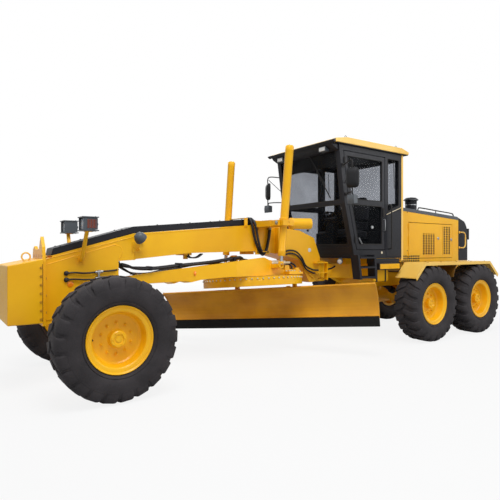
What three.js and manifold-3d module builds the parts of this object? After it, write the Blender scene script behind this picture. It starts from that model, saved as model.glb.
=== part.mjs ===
// Motor grader, millimetres, X forward, Y left, Z up.
// The origin is on the ground under the middle of the machine.
import * as THREE from 'three';
import { mergeVertices } from 'three/addons/utils/BufferGeometryUtils.js';
import Module from 'manifold-3d';

const wasm = await Module();
wasm.setup();

// ---- driving dimensions ----
const contactGap = 0.3;            // between pieces that are fixed face to face
const runningGap = 6;              // between pieces that move past each other
const pinGap = 1.5;                // between a pin or rod and its bore

const frontAxleX = 3500;
const wheelBase = 6450;            // front axle to tandem pivot
const tandemSpacing = 1540;        // between the two axles of a tandem
const articulationBack = 3950;     // front axle to articulation pin

const tyreDiameter = 1350;
const tyreWidth = 445;
const overTyres = 2600;
const rimDiameter = 736;
const rimBore = 610;               // clear opening behind the disc, for hubs
const discThickness = 40;

const beamHalfWidth = 200;
const beamTopFront = 1560;
const beamTopBend = 1850;
const beamTopRear = 2050;
const beamUnderside = 1600;
const coverHeight = 92;
const gooseneckHalfWidth = 300;

const flangeFront = 592;           // front axle to the face the front weight bolts to
const frontWeightHalfWidth = 370;
const frontWeightLength = 370;
const frontWeightTop = 1531;
const frontWeightBottom = 790;

const kingpinY = 800;              // the kingpin crosses the lean pin here
const leanPinZ = 600;
const leanBarZ = 860;
const oscillationPinZ = 745;
const steerArmLength = 240;

const cabHalfWidth = 800;
const cabWall = 45;
const cabFloorZ = 1490;
const cabRoofZ = 3360;
const cabRearBack = 5350;          // front axle to the rear wall of the cab
const roofThickness = 105;
const doorGap = 10;
const doorThickness = 45;
const postBack = 4880;             // front axle to the door's rear post

const hoodHalfWidth = 550;
const hoodFrontBack = 5640;
const hoodRearBack = 7980;
const hoodWall = 40;
const hoodBottomZ = 1400;

const fenderTopZ = 1410;
const fenderThickness = 22;
const fenderInnerY = 832;
const fenderOuterY = 1255;

const tandemPinZ = 720;
const tandemInnerY = 640;
const tandemOuterY = 830;
const tandemPinRadius = 70;

const ballBack = 450;              // front axle to the drawbar ball
const ballZ = 1220;
const ballRadius = 62;
const assemblyRoll = THREE.MathUtils.degToRad(5.3);
const circleBack = 2600;
const circleRadius = 790;
const circleRingWidth = 130;
const circleBottomZ = 1050;
const circleTopZ = 1185;
const drawbarBottomZ = 1195;
const drawbarPlateZ = 1272;         // top of the plate over the circle
const bladeAngle = THREE.MathUtils.degToRad(30.3);

const bladeLength = 3730;
const bladeBottomZ = 446;           // before it is tipped forward
const edgeHeight = 130;
const bladeTopZ = 1100;
const bladeTip = THREE.MathUtils.degToRad(18);
const bladeArcRadius = 400;
const bladeThickness = 25;
const bladeSetBack = 250;          // circle centre to the ends of the blade's arc
const bladeShift = 36;             // how far the blade stands to its left
const railHeight = 44;
const railDepth = 46;
const armInset = 320;              // from the circle's rim to the middle of the blade's arms

const trunnionBack = 2620;
const trunnionY = 775;
const trunnionZ = 2030;
const barrelRadius = 64;
const barrelLowerRadius = 53;
const barrelAbove = 1150;
const barrelBelow = 490;
const rodRadius = 30;
const lugBack = 2570;
const lugZ = 1330;
const eyeHalfWidth = 22;
const trunnionPinRadius = 18;
const eyeClearance = 36;           // between a lug and the rod's open eye

// ---- places worked out from them ----
const articulationX = frontAxleX - articulationBack;
const tandemX = frontAxleX - wheelBase;
const wheelRadius = tyreDiameter / 2;
const wheelY = (overTyres - tyreWidth) / 2;
const armY = circleRadius - armInset;
const ballX = frontAxleX - ballBack;
const circleX = frontAxleX - circleBack;
const trunnionX = frontAxleX - trunnionBack;
const lugX = frontAxleX - lugBack;

// ---- materials ----
const paint = { colour: 0xeba91e, roughness: 0.38, metalness: 0.1 };
const darkPaint = { colour: 0x2b2c2e, roughness: 0.5, metalness: 0.1 };
const rubber = { colour: 0x26262a, roughness: 0.85, metalness: 0 };
const steel = { colour: 0x8b8d90, roughness: 0.3, metalness: 0.9 };
const wornSteel = { colour: 0x1d1d1f, roughness: 0.45, metalness: 0.7 };
const fabric = { colour: 0x2f3033, roughness: 0.9, metalness: 0 };

// ---- shape helpers ----
function manifoldOf(geometry) {
  geometry.deleteAttribute('normal');
  geometry.deleteAttribute('uv');
  const merged = mergeVertices(geometry, 1e-3);
  const vertProperties = new Float32Array(merged.attributes.position.array);
  const triVerts = new Uint32Array(merged.index.array);
  return new wasm.Manifold(new wasm.Mesh({ numProp: 3, vertProperties, triVerts }));
}

function block(x, y, z) {
  const geometry = new THREE.BoxGeometry(x[1] - x[0], y[1] - y[0], z[1] - z[0]);
  geometry.translate((x[0] + x[1]) / 2, (y[0] + y[1]) / 2, (z[0] + z[1]) / 2);
  return manifoldOf(geometry);
}

function shapeOf(points) {
  return new THREE.Shape(points.map(([u, v]) => new THREE.Vector2(u, v)));
}

function extrude(points, depth, basis, offset) {
  const geometry = new THREE.ExtrudeGeometry(shapeOf(points), { depth, bevelEnabled: false });
  geometry.applyMatrix4(new THREE.Matrix4().makeBasis(...basis).setPosition(offset));
  return manifoldOf(geometry);
}

const alongX = new THREE.Vector3(1, 0, 0);
const alongY = new THREE.Vector3(0, 1, 0);
const alongZ = new THREE.Vector3(0, 0, 1);

// an outline of (x, z) points seen from the right side, between two y values
function sidePlate(points, y) {
  const away = alongY.clone().negate();
  return extrude(points, y[1] - y[0], [alongX, alongZ, away], new THREE.Vector3(0, y[1], 0));
}

// an outline of (y, z) points seen from ahead, between two x values
function frontPlate(points, x) {
  return extrude(points, x[1] - x[0], [alongY, alongZ, alongX], new THREE.Vector3(x[0], 0, 0));
}

// an outline of (x, y) points seen from above, between two z values
function planPlate(points, z) {
  return extrude(points, z[1] - z[0], [alongX, alongY, alongZ], new THREE.Vector3(0, 0, z[0]));
}

function rod(from, to, radius, sides = 10, endRadius = radius) {
  const a = new THREE.Vector3(...from);
  const b = new THREE.Vector3(...to);
  const geometry = new THREE.CylinderGeometry(endRadius, radius, a.distanceTo(b), sides);
  const turn = new THREE.Quaternion().setFromUnitVectors(alongY, b.clone().sub(a).normalize());
  geometry.applyQuaternion(turn);
  const middle = a.add(b).multiplyScalar(0.5);
  geometry.translate(middle.x, middle.y, middle.z);
  return manifoldOf(geometry);
}

// a hole whose flats clear a pin of that radius by the pin gap
function bore(from, to, pinRadius, sides = 12) {
  return rod(from, to, (pinRadius + pinGap) / Math.cos(Math.PI / sides), sides);
}

// a profile of (radius, distance outboard) turned about an axle along Y; side is 1 left, -1 right
// each flat of the turned solid lies at the profile's radius, and one flat is at the bottom
function turnedOnAxle(profile, centre, side, sides) {
  const grow = 1 / Math.cos(Math.PI / sides);
  const points = profile.map(([radius, out]) => new THREE.Vector2(radius * grow, out));
  const geometry = new THREE.LatheGeometry(points, sides, Math.PI / sides);
  if (side < 0) geometry.rotateX(Math.PI);
  geometry.translate(...centre);
  return manifoldOf(geometry);
}

function union(...pieces) {
  return pieces.reduce((sum, piece) => sum.add(piece));
}

function ringPoints(radius, from, to, steps, centre = [0, 0]) {
  const points = [];
  for (let i = 0; i <= steps; i++) {
    const angle = from + ((to - from) * i) / steps;
    points.push([centre[0] + radius * Math.cos(angle), centre[1] + radius * Math.sin(angle)]);
  }
  return points;
}

function mirrored(points) {
  return points.map(([u, v]) => [-u, v]).reverse();
}

function part(name, solid, look) {
  const mesh = solid.getMesh();
  const geometry = new THREE.BufferGeometry();
  geometry.setAttribute('position', new THREE.BufferAttribute(new Float32Array(mesh.vertProperties), 3));
  geometry.setIndex(new THREE.BufferAttribute(new Uint32Array(mesh.triVerts), 1));
  geometry.computeVertexNormals();
  const { colour: color, roughness, metalness } = look;
  const result = new THREE.Mesh(geometry, new THREE.MeshStandardMaterial({ color, roughness, metalness }));
  result.name = name;
  return result;
}

function body(...members) {
  const group = new THREE.Group();
  group.add(...members);
  return group;
}

const sideName = (side) => (side > 0 ? 'left' : 'right');
const bySide = (side, low, high) => (side > 0 ? [low, high] : [-high, -low]);

// the drawbar, circle and blade are built level, then rolled about the ball
function rolled(group) {
  const turn = new THREE.Group();
  turn.position.set(0, 0, ballZ);
  turn.rotation.x = assemblyRoll;
  group.position.z = -ballZ;
  turn.add(group);
  return turn;
}

function rolledPoint([x, y, z]) {
  const dz = z - ballZ;
  const sin = Math.sin(assemblyRoll);
  const cos = Math.cos(assemblyRoll);
  return [x, y * cos - dz * sin, ballZ + y * sin + dz * cos];
}

// ---- wheels ----
const wheelSides = 20;
const beadSeat = rimDiameter / 2 - 14;
const beadOut = 160;
const treadHalf = 162;
const discBack = 20;               // the disc's inner face, outboard of the wheel's middle

function tyre(name, centre, side) {
  const half = tyreWidth / 2;
  const lip = rimDiameter / 2 + contactGap;
  const bulge = wheelRadius - 165;
  const shoulder = wheelRadius - 45;
  const shoulderOut = half - 16;
  const profile = [
    [beadSeat, -beadOut], [lip, -beadOut], [bulge, -half], [shoulder, -shoulderOut],
    [wheelRadius, -treadHalf], [wheelRadius, treadHalf], [shoulder, shoulderOut], [bulge, half],
    [lip, beadOut], [beadSeat, beadOut], [beadSeat, -beadOut],
  ];
  return part(name, turnedOnAxle(profile, centre, side, wheelSides), rubber);
}

function rim(name, centre, side) {
  const seat = beadSeat - contactGap;
  const flange = rimDiameter / 2;
  const tyreFace = beadOut + contactGap;
  const flangeOut = tyreFace + 22;
  const disc = discBack + discThickness;
  const well = rimBore / 2;
  const hub = 92;
  const hubCap = disc + 55;
  const profile = [
    [0, discBack], [well, discBack], [well, -tyreFace], [seat, -tyreFace], [seat, tyreFace],
    [flange, tyreFace], [flange, flangeOut], [well, flangeOut], [well - 60, disc],
    [hub, disc], [hub, hubCap], [0, hubCap],
  ];
  return part(name, turnedOnAxle(profile, centre, side, wheelSides), paint);
}

function wheel(place, x, side) {
  const centre = [x, side * wheelY, wheelRadius];
  const label = `${place}_${sideName(side)}`;
  return body(tyre(`tyre_${label}`, centre, side), rim(`rim_${label}`, centre, side));
}

// ---- front axle ----
const eyeRadius = 68;
const eyeHalf = 58;
const cheek = 30;
const axlePinRadius = 40;
const kingpinRadius = 34;
const linkPinRadius = 22;
const steerPinRadius = 16;

function axleBeam() {
  const half = 105;
  const arch = [
    [0, oscillationPinZ + 105], [300, oscillationPinZ + 85], [kingpinY - 150, leanPinZ + 72],
    [kingpinY, leanPinZ + 48], [kingpinY, leanPinZ - 48], [kingpinY - 150, leanPinZ - 62],
    [300, oscillationPinZ - 130], [0, oscillationPinZ - 140],
  ];
  const outline = [...arch.slice(1, -1), arch[arch.length - 1], ...mirrored(arch.slice(1, -1)), arch[0]];
  const narrow = frontPlate(outline, [frontAxleX - eyeHalf, frontAxleX + eyeHalf]);
  const middle = block([frontAxleX - half, frontAxleX + half], [-560, 560], [300, 1200]);
  let beam = union(narrow, frontPlate(outline, [frontAxleX - half, frontAxleX + half]).intersect(middle));
  for (const side of [1, -1]) {
    const y = side * kingpinY;
    beam = beam.add(rod([frontAxleX - eyeHalf, y, leanPinZ], [frontAxleX + eyeHalf, y, leanPinZ], eyeRadius));
  }
  const hole = bore(
    [frontAxleX - 300, 0, oscillationPinZ], [frontAxleX + 300, 0, oscillationPinZ], axlePinRadius,
  );
  return part('axle_beam', beam.subtract(hole), paint);
}

function leanBracket(side) {
  const x = frontAxleX;
  const y = side * kingpinY;
  const inner = eyeHalf + runningGap;
  const outer = inner + cheek;
  const across = bySide(side, kingpinY - 58, kingpinY + 58);
  const linkPlate = bySide(side, kingpinY - 40, kingpinY + 40);
  const top = leanPinZ + eyeRadius + 14;
  const bottom = leanPinZ - eyeRadius - 14;
  const bracket = union(
    block([x + inner, x + outer], across, [bottom - 30, top + 30]),
    block([x - outer, x - inner], across, [bottom - 30, top + 30]),
    block([x - outer, x + outer], across, [top, top + 30]),
    block([x - outer, x + outer], across, [bottom - 30, bottom]),
    rod([x, y, top + 10], [x, y, top + 92], kingpinRadius),
    rod([x, y, bottom - 92], [x, y, bottom - 10], kingpinRadius),
    block([x - outer - 70, x - outer + 10], linkPlate, [top - 60, top + 30]),
    block([x - outer - 70, x - outer - 42], linkPlate, [top - 60, leanBarZ + 45]),
    rod([x - outer - 100, y, leanBarZ], [x - outer - 40, y, leanBarZ], linkPinRadius),
  );
  return part(`lean_bracket_${sideName(side)}`, bracket, paint);
}

const leanBarX = frontAxleX - eyeHalf - runningGap - cheek - 70 - runningGap;

function leanBar() {
  const x = [leanBarX - 34, leanBarX];
  let bar = block(x, [-kingpinY, kingpinY], [leanBarZ - 32, leanBarZ + 32]);
  for (const side of [1, -1]) {
    const y = side * kingpinY;
    bar = bar.add(rod([x[0], y, leanBarZ], [x[1], y, leanBarZ], 46));
    bar = bar.subtract(bore([x[0] - 5, y, leanBarZ], [x[1] + 5, y, leanBarZ], linkPinRadius));
  }
  return part('lean_bar', bar, paint);
}

const lowerForkZ = leanPinZ - eyeRadius - 44 - runningGap;
const upperForkZ = leanPinZ + eyeRadius + 44 + runningGap;

function knuckle(side) {
  const x = frontAxleX;
  const y = side * kingpinY;
  const plates = [[lowerForkZ - 34, lowerForkZ], [upperForkZ, upperForkZ + 34]];
  const web = bySide(side, kingpinY + 113, kingpinY + 143);
  let yoke = block([x - 56, x + 56], web, [lowerForkZ - 34, upperForkZ + 34]);
  for (const z of plates) {
    yoke = union(
      yoke,
      block([x - 56, x + 56], bySide(side, kingpinY, kingpinY + 120), z),
      rod([x, y, z[0]], [x, y, z[1]], 62, 14),
    );
    yoke = yoke.subtract(bore([x, y, z[0] - 30], [x, y, z[1] + 30], kingpinRadius));
  }
  const hubFace = wheelY + discBack - pinGap;
  const spindle = rod([x, side * (kingpinY + 120), wheelRadius], [x, side * hubFace, wheelRadius], 62);
  const arm = block([x - steerArmLength - 34, x - 40], bySide(side, kingpinY - 34, kingpinY + 34), plates[0]);
  const armX = x - steerArmLength;
  const stud = rod([armX, y, lowerForkZ - 20], [armX, y, lowerForkZ + 36], steerPinRadius);
  return part(`knuckle_${sideName(side)}`, union(yoke, spindle, arm, stud), paint);
}

const tieRodX = frontAxleX - steerArmLength;
const tieEndZ = [lowerForkZ + 14, lowerForkZ + 54];
const tieRodZ = (tieEndZ[0] + tieEndZ[1]) / 2;
const tiePinRadius = 13;

function tieRodEnd() {
  const x = tieRodX;
  const socket = rod([x, kingpinY, tieEndZ[0]], [x, kingpinY, tieEndZ[1]], 34);
  const hole = bore([x, kingpinY, tieEndZ[0] - 5], [x, kingpinY, tieEndZ[0] + 24], steerPinRadius);
  const pin = rod([x - 60, kingpinY, tieRodZ], [x - 20, kingpinY, tieRodZ], tiePinRadius);
  return part('tie_rod_end', union(socket.subtract(hole), pin), steel);
}

function tieRod() {
  const x = tieRodX;
  const z = tieRodZ;
  const half = 14;
  const depth = [x - 62, x - 34 - runningGap];
  const eye = rod([depth[0], kingpinY, z], [depth[1], kingpinY, z], 26);
  const bar = block(depth, [-kingpinY + 80, kingpinY], [z - half, z + half]);
  const farArm = block([depth[0], x + 34], [-kingpinY - 34, -kingpinY + 90], [z - half, z + half + 8]);
  const hole = bore([x - 80, kingpinY, z], [x, kingpinY, z], tiePinRadius);
  const tiltRoom = 8;
  const farHole = bore([x, -kingpinY, z - 60], [x, -kingpinY, z + 10], steerPinRadius + tiltRoom);
  return part('tie_rod', union(eye, bar, farArm).subtract(hole).subtract(farHole), steel);
}

// ---- front frame ----
const articulationPinRadius = 58;

function fromAxle(points) {
  return points.map(([forward, z]) => [frontAxleX + forward, z]);
}

function mainBeam() {
  const half = beamHalfWidth;
  const head = sidePlate(fromAxle([
    [560, 750], [560, beamTopFront - 40], [-560, beamTopBend - 40], [-560, 1500], [-340, 1489],
    [-340, 990], [-165, 990], [-165, 620], [-125, 620], [-125, 915], [125, 915], [125, 620],
    [165, 620], [240, 750],
  ]), [-half, half]);
  const arch = sidePlate(fromAxle([
    [480, beamTopFront], [-550, beamTopBend], [-2135, beamTopRear - 50], [-2800, beamTopRear],
    [-3120, beamTopRear - 30], [-3120, 1540], [-2605, beamUnderside + 15], [-1371, beamUnderside - 12],
    [-338, 1489], [0, 1300],
  ]), [-half, half]);
  const gooseneck = sidePlate(fromAxle([
    [-2900, 1575], [-2900, 1990], [-3339, 1953], [-3665, 1834], [-3800, 1511], [-3800, 1440],
    [-3760, 1440], [-3760, 1130], [-3640, 1090], [-3560, 1090], [-3330, 1470],
  ]), [-gooseneckHalfWidth, gooseneckHalfWidth]);
  const lugs = [[1090, 1132], [1398, 1440]].map((z) => union(
    rod([articulationX, 0, z[0]], [articulationX, 0, z[1]], 180, 20),
    block([articulationX, articulationX + 350], [-180, 180], z),
  ));
  const clear = rod([articulationX, 0, 1132], [articulationX, 0, 1398], 190, 20);
  const pin = rod([articulationX, 0, 1100], [articulationX, 0, 1420], articulationPinRadius, 14);
  const flange = frontPlate([
    [-310, 750], [310, 750], [310, 1500], [280, 1670], [185, 1790], [90, 1640], [-120, 1640], [-200, 1680],
    [-280, 1640], [-310, 1500],
  ], [frontAxleX + flangeFront - 37, frontAxleX + flangeFront]);
  const axlePin = rod(
    [frontAxleX - 150, 0, oscillationPinZ], [frontAxleX + 150, 0, oscillationPinZ], axlePinRadius,
  );
  const socket = rod([ballX + 130, 0, ballZ], [ballX + ballRadius + pinGap, 0, ballZ], 110, 14);
  const beam = union(head, arch, gooseneck.subtract(clear), ...lugs, pin, flange, axlePin, socket);
  return part('main_beam', beam, paint);
}

function beamCover() {
  const half = beamHalfWidth - 30;
  const coverEnd = -trunnionBack + 110 + 2 * runningGap;
  const lower = fromAxle([
    [470, beamTopFront + 3], [-550, beamTopBend], [-2135, beamTopRear - 50], [coverEnd, beamTopRear - 22],
  ]).map(([x, z]) => [x, z + contactGap + 1]);
  const upper = fromAxle([
    [coverEnd, beamTopRear - 22 + coverHeight], [-2135, beamTopRear - 50 + coverHeight],
    [-550, beamTopBend + coverHeight], [450, beamTopFront + coverHeight],
  ]);
  return part('beam_cover', sidePlate([...upper, ...lower], [-half, half]), darkPaint);
}

function frontWeight() {
  const rear = frontAxleX + flangeFront + contactGap;
  const half = frontWeightHalfWidth;
  const weight = sidePlate([
    [rear, frontWeightBottom], [rear + frontWeightLength, frontWeightBottom],
    [rear + frontWeightLength, frontWeightTop - 74], [rear, frontWeightTop],
  ], [-half, half]);
  return part('front_weight', weight, paint);
}

function liftSaddle() {
  const x = trunnionX;
  const half = beamHalfWidth;
  const strap = 34;
  const strapX = [x - 150, x + 110];
  const forkZ = [trunnionZ - 40, trunnionZ + 40];
  let saddle = union(
    block(strapX, [-half - strap, -half - contactGap], [1560, 2090]),
    block(strapX, [half + contactGap, half + strap], [1560, 2090]),
    block(strapX, [-half - strap, half + strap], [2090 - strap, 2090]),
  );
  for (const side of [1, -1]) {
    const y = side * trunnionY;
    const fork = bySide(side, trunnionY - 190, trunnionY + 45);
    saddle = union(
      saddle,
      block([x - 150, x + 150], bySide(side, half + 20, trunnionY - 130), [trunnionZ - 45, trunnionZ + 45]),
      block([x + 108, x + 140], fork, forkZ),
      block([x - 140, x - 108], fork, forkZ),
    );
    saddle = saddle.subtract(bore([x - 160, y, trunnionZ], [x + 160, y, trunnionZ], trunnionPinRadius));
  }
  const stub = rod([x - 175, trunnionY - 90, trunnionZ], [x - 420, trunnionY + 40, trunnionZ], 74, 14);
  const seat = block([x - 230, x - 115], [trunnionY - 130, trunnionY - 40], forkZ);
  return part('lift_saddle', union(saddle, stub, seat), paint);
}

function headlamp(side) {
  const x = frontAxleX;
  const stalk = union(
    rod([x + 140, side * (beamHalfWidth + contactGap), 1500], [x + 140, side * 290, 1530], 24),
    rod([x + 140, side * 270, 1520], [x + 130, side * 450, 1860], 24),
  );
  const housing = block([x + 30, x + 210], bySide(side, 345, 555), [1855, 2025]);
  const inside = block([x + 180, x + 220], bySide(side, 360, 540), [1873, 2007]);
  const wall = block([x - 50, x + 300], bySide(side, -500, beamHalfWidth + contactGap), [1300, 1700]);
  return part(`headlamp_${sideName(side)}`, union(stalk, housing.subtract(inside)).subtract(wall), darkPaint);
}

// ---- drawbar, circle and blade, built level ----
const ballPinRadius = 22;
const yokeRadius = 38;
const yokeY = [68, 96];            // each cheek of the drawbar's yoke beside the ball

function drawbarBall() {
  const ball = new THREE.SphereGeometry(ballRadius, 12, 8);
  ball.translate(ballX, 0, ballZ);
  const pin = rod([ballX, -yokeY[1], ballZ], [ballX, yokeY[1], ballZ], ballPinRadius, 12);
  return part('drawbar_ball', union(manifoldOf(ball), pin), steel);
}

// a point on the ball's level pin, seen from the rolled drawbar
function onBallPin(along) {
  return [ballX, along * Math.cos(assemblyRoll), ballZ - along * Math.sin(assemblyRoll)];
}

// how high the drawbar's rails stand, front to rear: forward of the axle, underside, top
const railProfile = [
  [-530, 1160, 1280], [-1000, 1170, 1331], [-1225, 1172, 1352], [-1300, 1150, 1356], [-1420, 1177, 1366],
  [-1700, drawbarBottomZ, 1395], [-2200, drawbarBottomZ, 1450], [-2370, drawbarBottomZ, 1465],
  [-2400, drawbarBottomZ, 1463], [-2500, drawbarBottomZ, 1420],
];

function drawbar() {
  const at = (back) => frontAxleX - back;
  const railEnd = 2530;
  const rear = 3080;
  const outline = [
    [at(530), 110], [at(800), 200], [at(1900), 610], [at(railEnd), 620], [at(railEnd), -620],
    [at(1900), -610], [at(800), -200], [at(530), -110],
  ].reverse();
  const window = [[at(1120), 0], [at(1150), 110], [at(1860), 390], [at(1860), -390], [at(1150), -110]];
  const sideOutline = [
    ...railProfile.map(([forward, , top]) => [frontAxleX + forward, top]), [at(railEnd), 1417],
    [at(railEnd), drawbarBottomZ],
    ...[...railProfile].reverse().map(([forward, low]) => [frontAxleX + forward, low]),
  ].reverse();
  const everyHeight = [1000, 1600];
  const wall = 60;
  let frame = planPlate(outline, everyHeight).intersect(sidePlate(sideOutline, [-700, 700]));
  frame = frame.subtract(planPlate(window, everyHeight));
  const inside = [
    [at(1500), 400], [at(1900), 610 - wall], [at(railEnd) - 10, 620 - wall], [at(railEnd) - 10, -620 + wall],
    [at(1900), -610 + wall], [at(1500), -400],
  ].reverse();
  frame = frame.subtract(planPlate(inside, [drawbarPlateZ, 1600]));
  frame = frame.add(block([at(rear), at(railEnd) + 20], [-620, 620], [drawbarBottomZ, drawbarPlateZ]));
  frame = frame.subtract(block([at(2880), at(2080)], [-430, 430], [1000, 1600]));
  const pinHole = bore(onBallPin(-yokeY[1] - 20), onBallPin(yokeY[1] + 20), ballPinRadius);
  const motor = union(
    rod([at(2260), 0, drawbarBottomZ], [at(2260), 0, drawbarPlateZ + 180], 95, 16),
    block([at(2400), at(1960)], [-120, 120], [drawbarBottomZ, drawbarPlateZ + 60]),
    block([at(2400), at(2300)], [-440, 440], [drawbarBottomZ, drawbarPlateZ]),
  );
  frame = union(frame, motor);
  const lugAlong = [lugX - 60, lugX + 60];
  for (const side of [1, -1]) {
    const cheekY = bySide(side, ...yokeY);
    frame = union(
      frame,
      rod(onBallPin(side * yokeY[0]), onBallPin(side * yokeY[1]), yokeRadius, 16),
      block([ballX - 90, ballX], cheekY, [ballZ - 30, ballZ + 30]),
      block(lugAlong, bySide(side, 520, 620), [drawbarBottomZ, lugZ + 34]),
      block(lugAlong, bySide(side, 560, trunnionY - eyeHalfWidth - eyeClearance), [lugZ - 26, lugZ + 34]),
    );
  }
  return part('drawbar', frame.subtract(pinHole), paint);
}

const tipPinRadius = 30;

function circle() {
  const sides = 40;
  const outer = rod([circleX, 0, circleBottomZ], [circleX, 0, circleTopZ], circleRadius, sides);
  const bottom = [circleX, 0, circleBottomZ - 5];
  const inner = rod(bottom, [circleX, 0, circleTopZ + 5], circleRadius - circleRingWidth, sides);
  let ring = outer.subtract(inner);
  for (const side of [1, -1]) {
    const y = bySide(side, armY + 36, armY + 86);
    const pivot = [circleX + tipPivotX, tipPivotZ];
    const front = pivot[0] + 65;
    const arm = sidePlate([
      [front, circleTopZ - 90], [front - 90, circleTopZ - 90], [pivot[0] - 72, pivot[1] + 90],
      [pivot[0] - 72, pivot[1] - 55], [pivot[0] + 30, pivot[1] - 55], [front, pivot[1] + 30],
    ], y);
    const hole = bore([pivot[0], y[0] - 10, pivot[1]], [pivot[0], y[1] + 10, pivot[1]], tipPinRadius);
    ring = union(ring, arm).subtract(hole);
  }
  return part('circle', ring, paint);
}

// the blade's arc in the circle's own frame: x along the blade's facing direction
const arcMiddleZ = (bladeBottomZ + edgeHeight + bladeTopZ) / 2;
const arcHalf = Math.asin((bladeTopZ - bladeBottomZ - edgeHeight) / 2 / bladeArcRadius);
const arcCentreX = circleX - bladeSetBack + bladeArcRadius * Math.cos(arcHalf);
const bladeBackX = arcCentreX - bladeArcRadius - bladeThickness;
const tipPivotX = bladeBackX - railDepth - 105 - circleX;
const tipPivotZ = 600;
const railZ = [arcMiddleZ - 150, arcMiddleZ + 150];

function moldboard() {
  const y = [bladeShift - bladeLength / 2, bladeShift + bladeLength / 2];
  const from = Math.PI - arcHalf;
  const to = Math.PI + arcHalf;
  const centre = [arcCentreX, arcMiddleZ];
  const edgeX = circleX - bladeSetBack;
  const inside = ringPoints(bladeArcRadius, from, to, 10, centre);
  const outside = ringPoints(bladeArcRadius + bladeThickness, to, from, 10, centre);
  let blade = sidePlate([...inside, ...outside], y);
  const lean = 40;
  blade = blade.add(sidePlate([
    [edgeX - 4, bladeBottomZ + edgeHeight + 30], [edgeX - 26, bladeBottomZ + edgeHeight + 30],
    [edgeX - 24 + lean, bladeBottomZ], [edgeX - 2 + lean, bladeBottomZ],
  ], y));
  const trim = block([edgeX - 300, edgeX + 200], [y[0] - 10, y[1] + 10], [bladeBottomZ - 60, bladeBottomZ]);
  blade = blade.subtract(trim);
  const backOnly = rod(
    [arcCentreX, y[0], arcMiddleZ], [arcCentreX, y[1], arcMiddleZ], bladeArcRadius + 8, 36,
  );
  for (const z of railZ) {
    const across = [y[0] + 380, y[1] - 380];
    const height = [z - railHeight / 2, z + railHeight / 2];
    const rail = block([bladeBackX - railDepth, bladeBackX + 40], across, height);
    blade = blade.add(rail.subtract(backOnly));
  }
  return part('moldboard', blade, paint);
}

function bladeCarrier() {
  const railBack = bladeBackX - railDepth;
  const plateX = [railBack - runningGap - 50, railBack - runningGap];
  const tube = [plateX[0] - 30, arcMiddleZ + 40];
  let carrier = rod([tube[0], -armY, tube[1]], [tube[0], armY, tube[1]], 48);
  for (const side of [1, -1]) {
    const y = bySide(side, armY - 36, armY + 30);
    carrier = carrier.add(block([plateX[0] - 40, plateX[1]], y, [railZ[0] - 60, railZ[1] + 60]));
    for (const [z, out] of [[railZ[0], -1], [railZ[1], 1]]) {
      const near = z + out * (railHeight / 2 + runningGap);
      const far = near + out * 26;
      const hook = block([plateX[0], bladeBackX - runningGap], y, [Math.min(near, far), Math.max(near, far)]);
      carrier = carrier.add(hook);
    }
    const onPivot = (across) => [circleX + tipPivotX, across, tipPivotZ];
    carrier = carrier.add(rod(onPivot(y[0]), onPivot(y[1]), 52));
    carrier = carrier.add(rod(onPivot(side * armY), onPivot(side * (armY + 84)), tipPinRadius));
  }
  return part('blade_carrier', carrier, paint);
}

// ---- blade lift and side shift cylinders ----
function liftYoke(side) {
  const x = trunnionX;
  const y = side * trunnionY;
  const inner = barrelRadius + 16;
  const ring = block([x - 100, x + 100], [y - 106, y + 106], [trunnionZ - 40, trunnionZ + 40]);
  const hole = block([x - inner, x + inner], [y - inner, y + inner], [trunnionZ - 60, trunnionZ + 60]);
  let yoke = ring.subtract(hole);
  yoke = yoke.add(rod([x + 90, y, trunnionZ], [x + 138, y, trunnionZ], trunnionPinRadius));
  yoke = yoke.add(rod([x - 138, y, trunnionZ], [x - 90, y, trunnionZ], trunnionPinRadius));
  yoke = yoke.subtract(bore([x, y - 120, trunnionZ], [x, y + 120, trunnionZ], trunnionPinRadius));
  return part(`lift_yoke_${sideName(side)}`, yoke, paint);
}

function liftLine(side) {
  const trunnion = new THREE.Vector3(trunnionX, side * trunnionY, trunnionZ);
  const eye = new THREE.Vector3(...rolledPoint([lugX, side * trunnionY, lugZ]));
  const down = eye.clone().sub(trunnion).normalize();
  const at = (distance) => trunnion.clone().addScaledVector(down, distance).toArray();
  return { trunnion, eye, down, at, length: trunnion.distanceTo(eye) };
}

function liftBarrel(side) {
  const line = liftLine(side);
  let barrel = rod(line.at(-barrelAbove), line.at(40), barrelRadius, 14);
  barrel = barrel.add(rod(line.at(0), line.at(barrelBelow), barrelLowerRadius, 14));
  barrel = barrel.subtract(bore(line.at(-barrelAbove + 60), line.at(barrelBelow + 10), rodRadius, 12));
  const y = side * trunnionY;
  for (const out of [1, -1]) {
    const from = [trunnionX, y + out * (rodRadius + 8), trunnionZ];
    barrel = barrel.add(rod(from, [trunnionX, y + out * 104, trunnionZ], trunnionPinRadius));
  }
  return part(`lift_barrel_${sideName(side)}`, barrel, paint);
}

function liftRod(side) {
  const line = liftLine(side);
  const start = -barrelAbove + 150;
  const shaft = rod(line.at(start), line.at(line.length - 60), rodRadius, 12);
  const neck = rod(line.at(line.length - 70), line.at(line.length - 10), eyeHalfWidth, 12);
  const [x, y, z] = line.eye.toArray();
  const eye = rod([x, y - eyeHalfWidth, z], [x, y + eyeHalfWidth, z], 44);
  return part(`lift_rod_${sideName(side)}`, union(shaft, neck, eye), steel);
}

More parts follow.
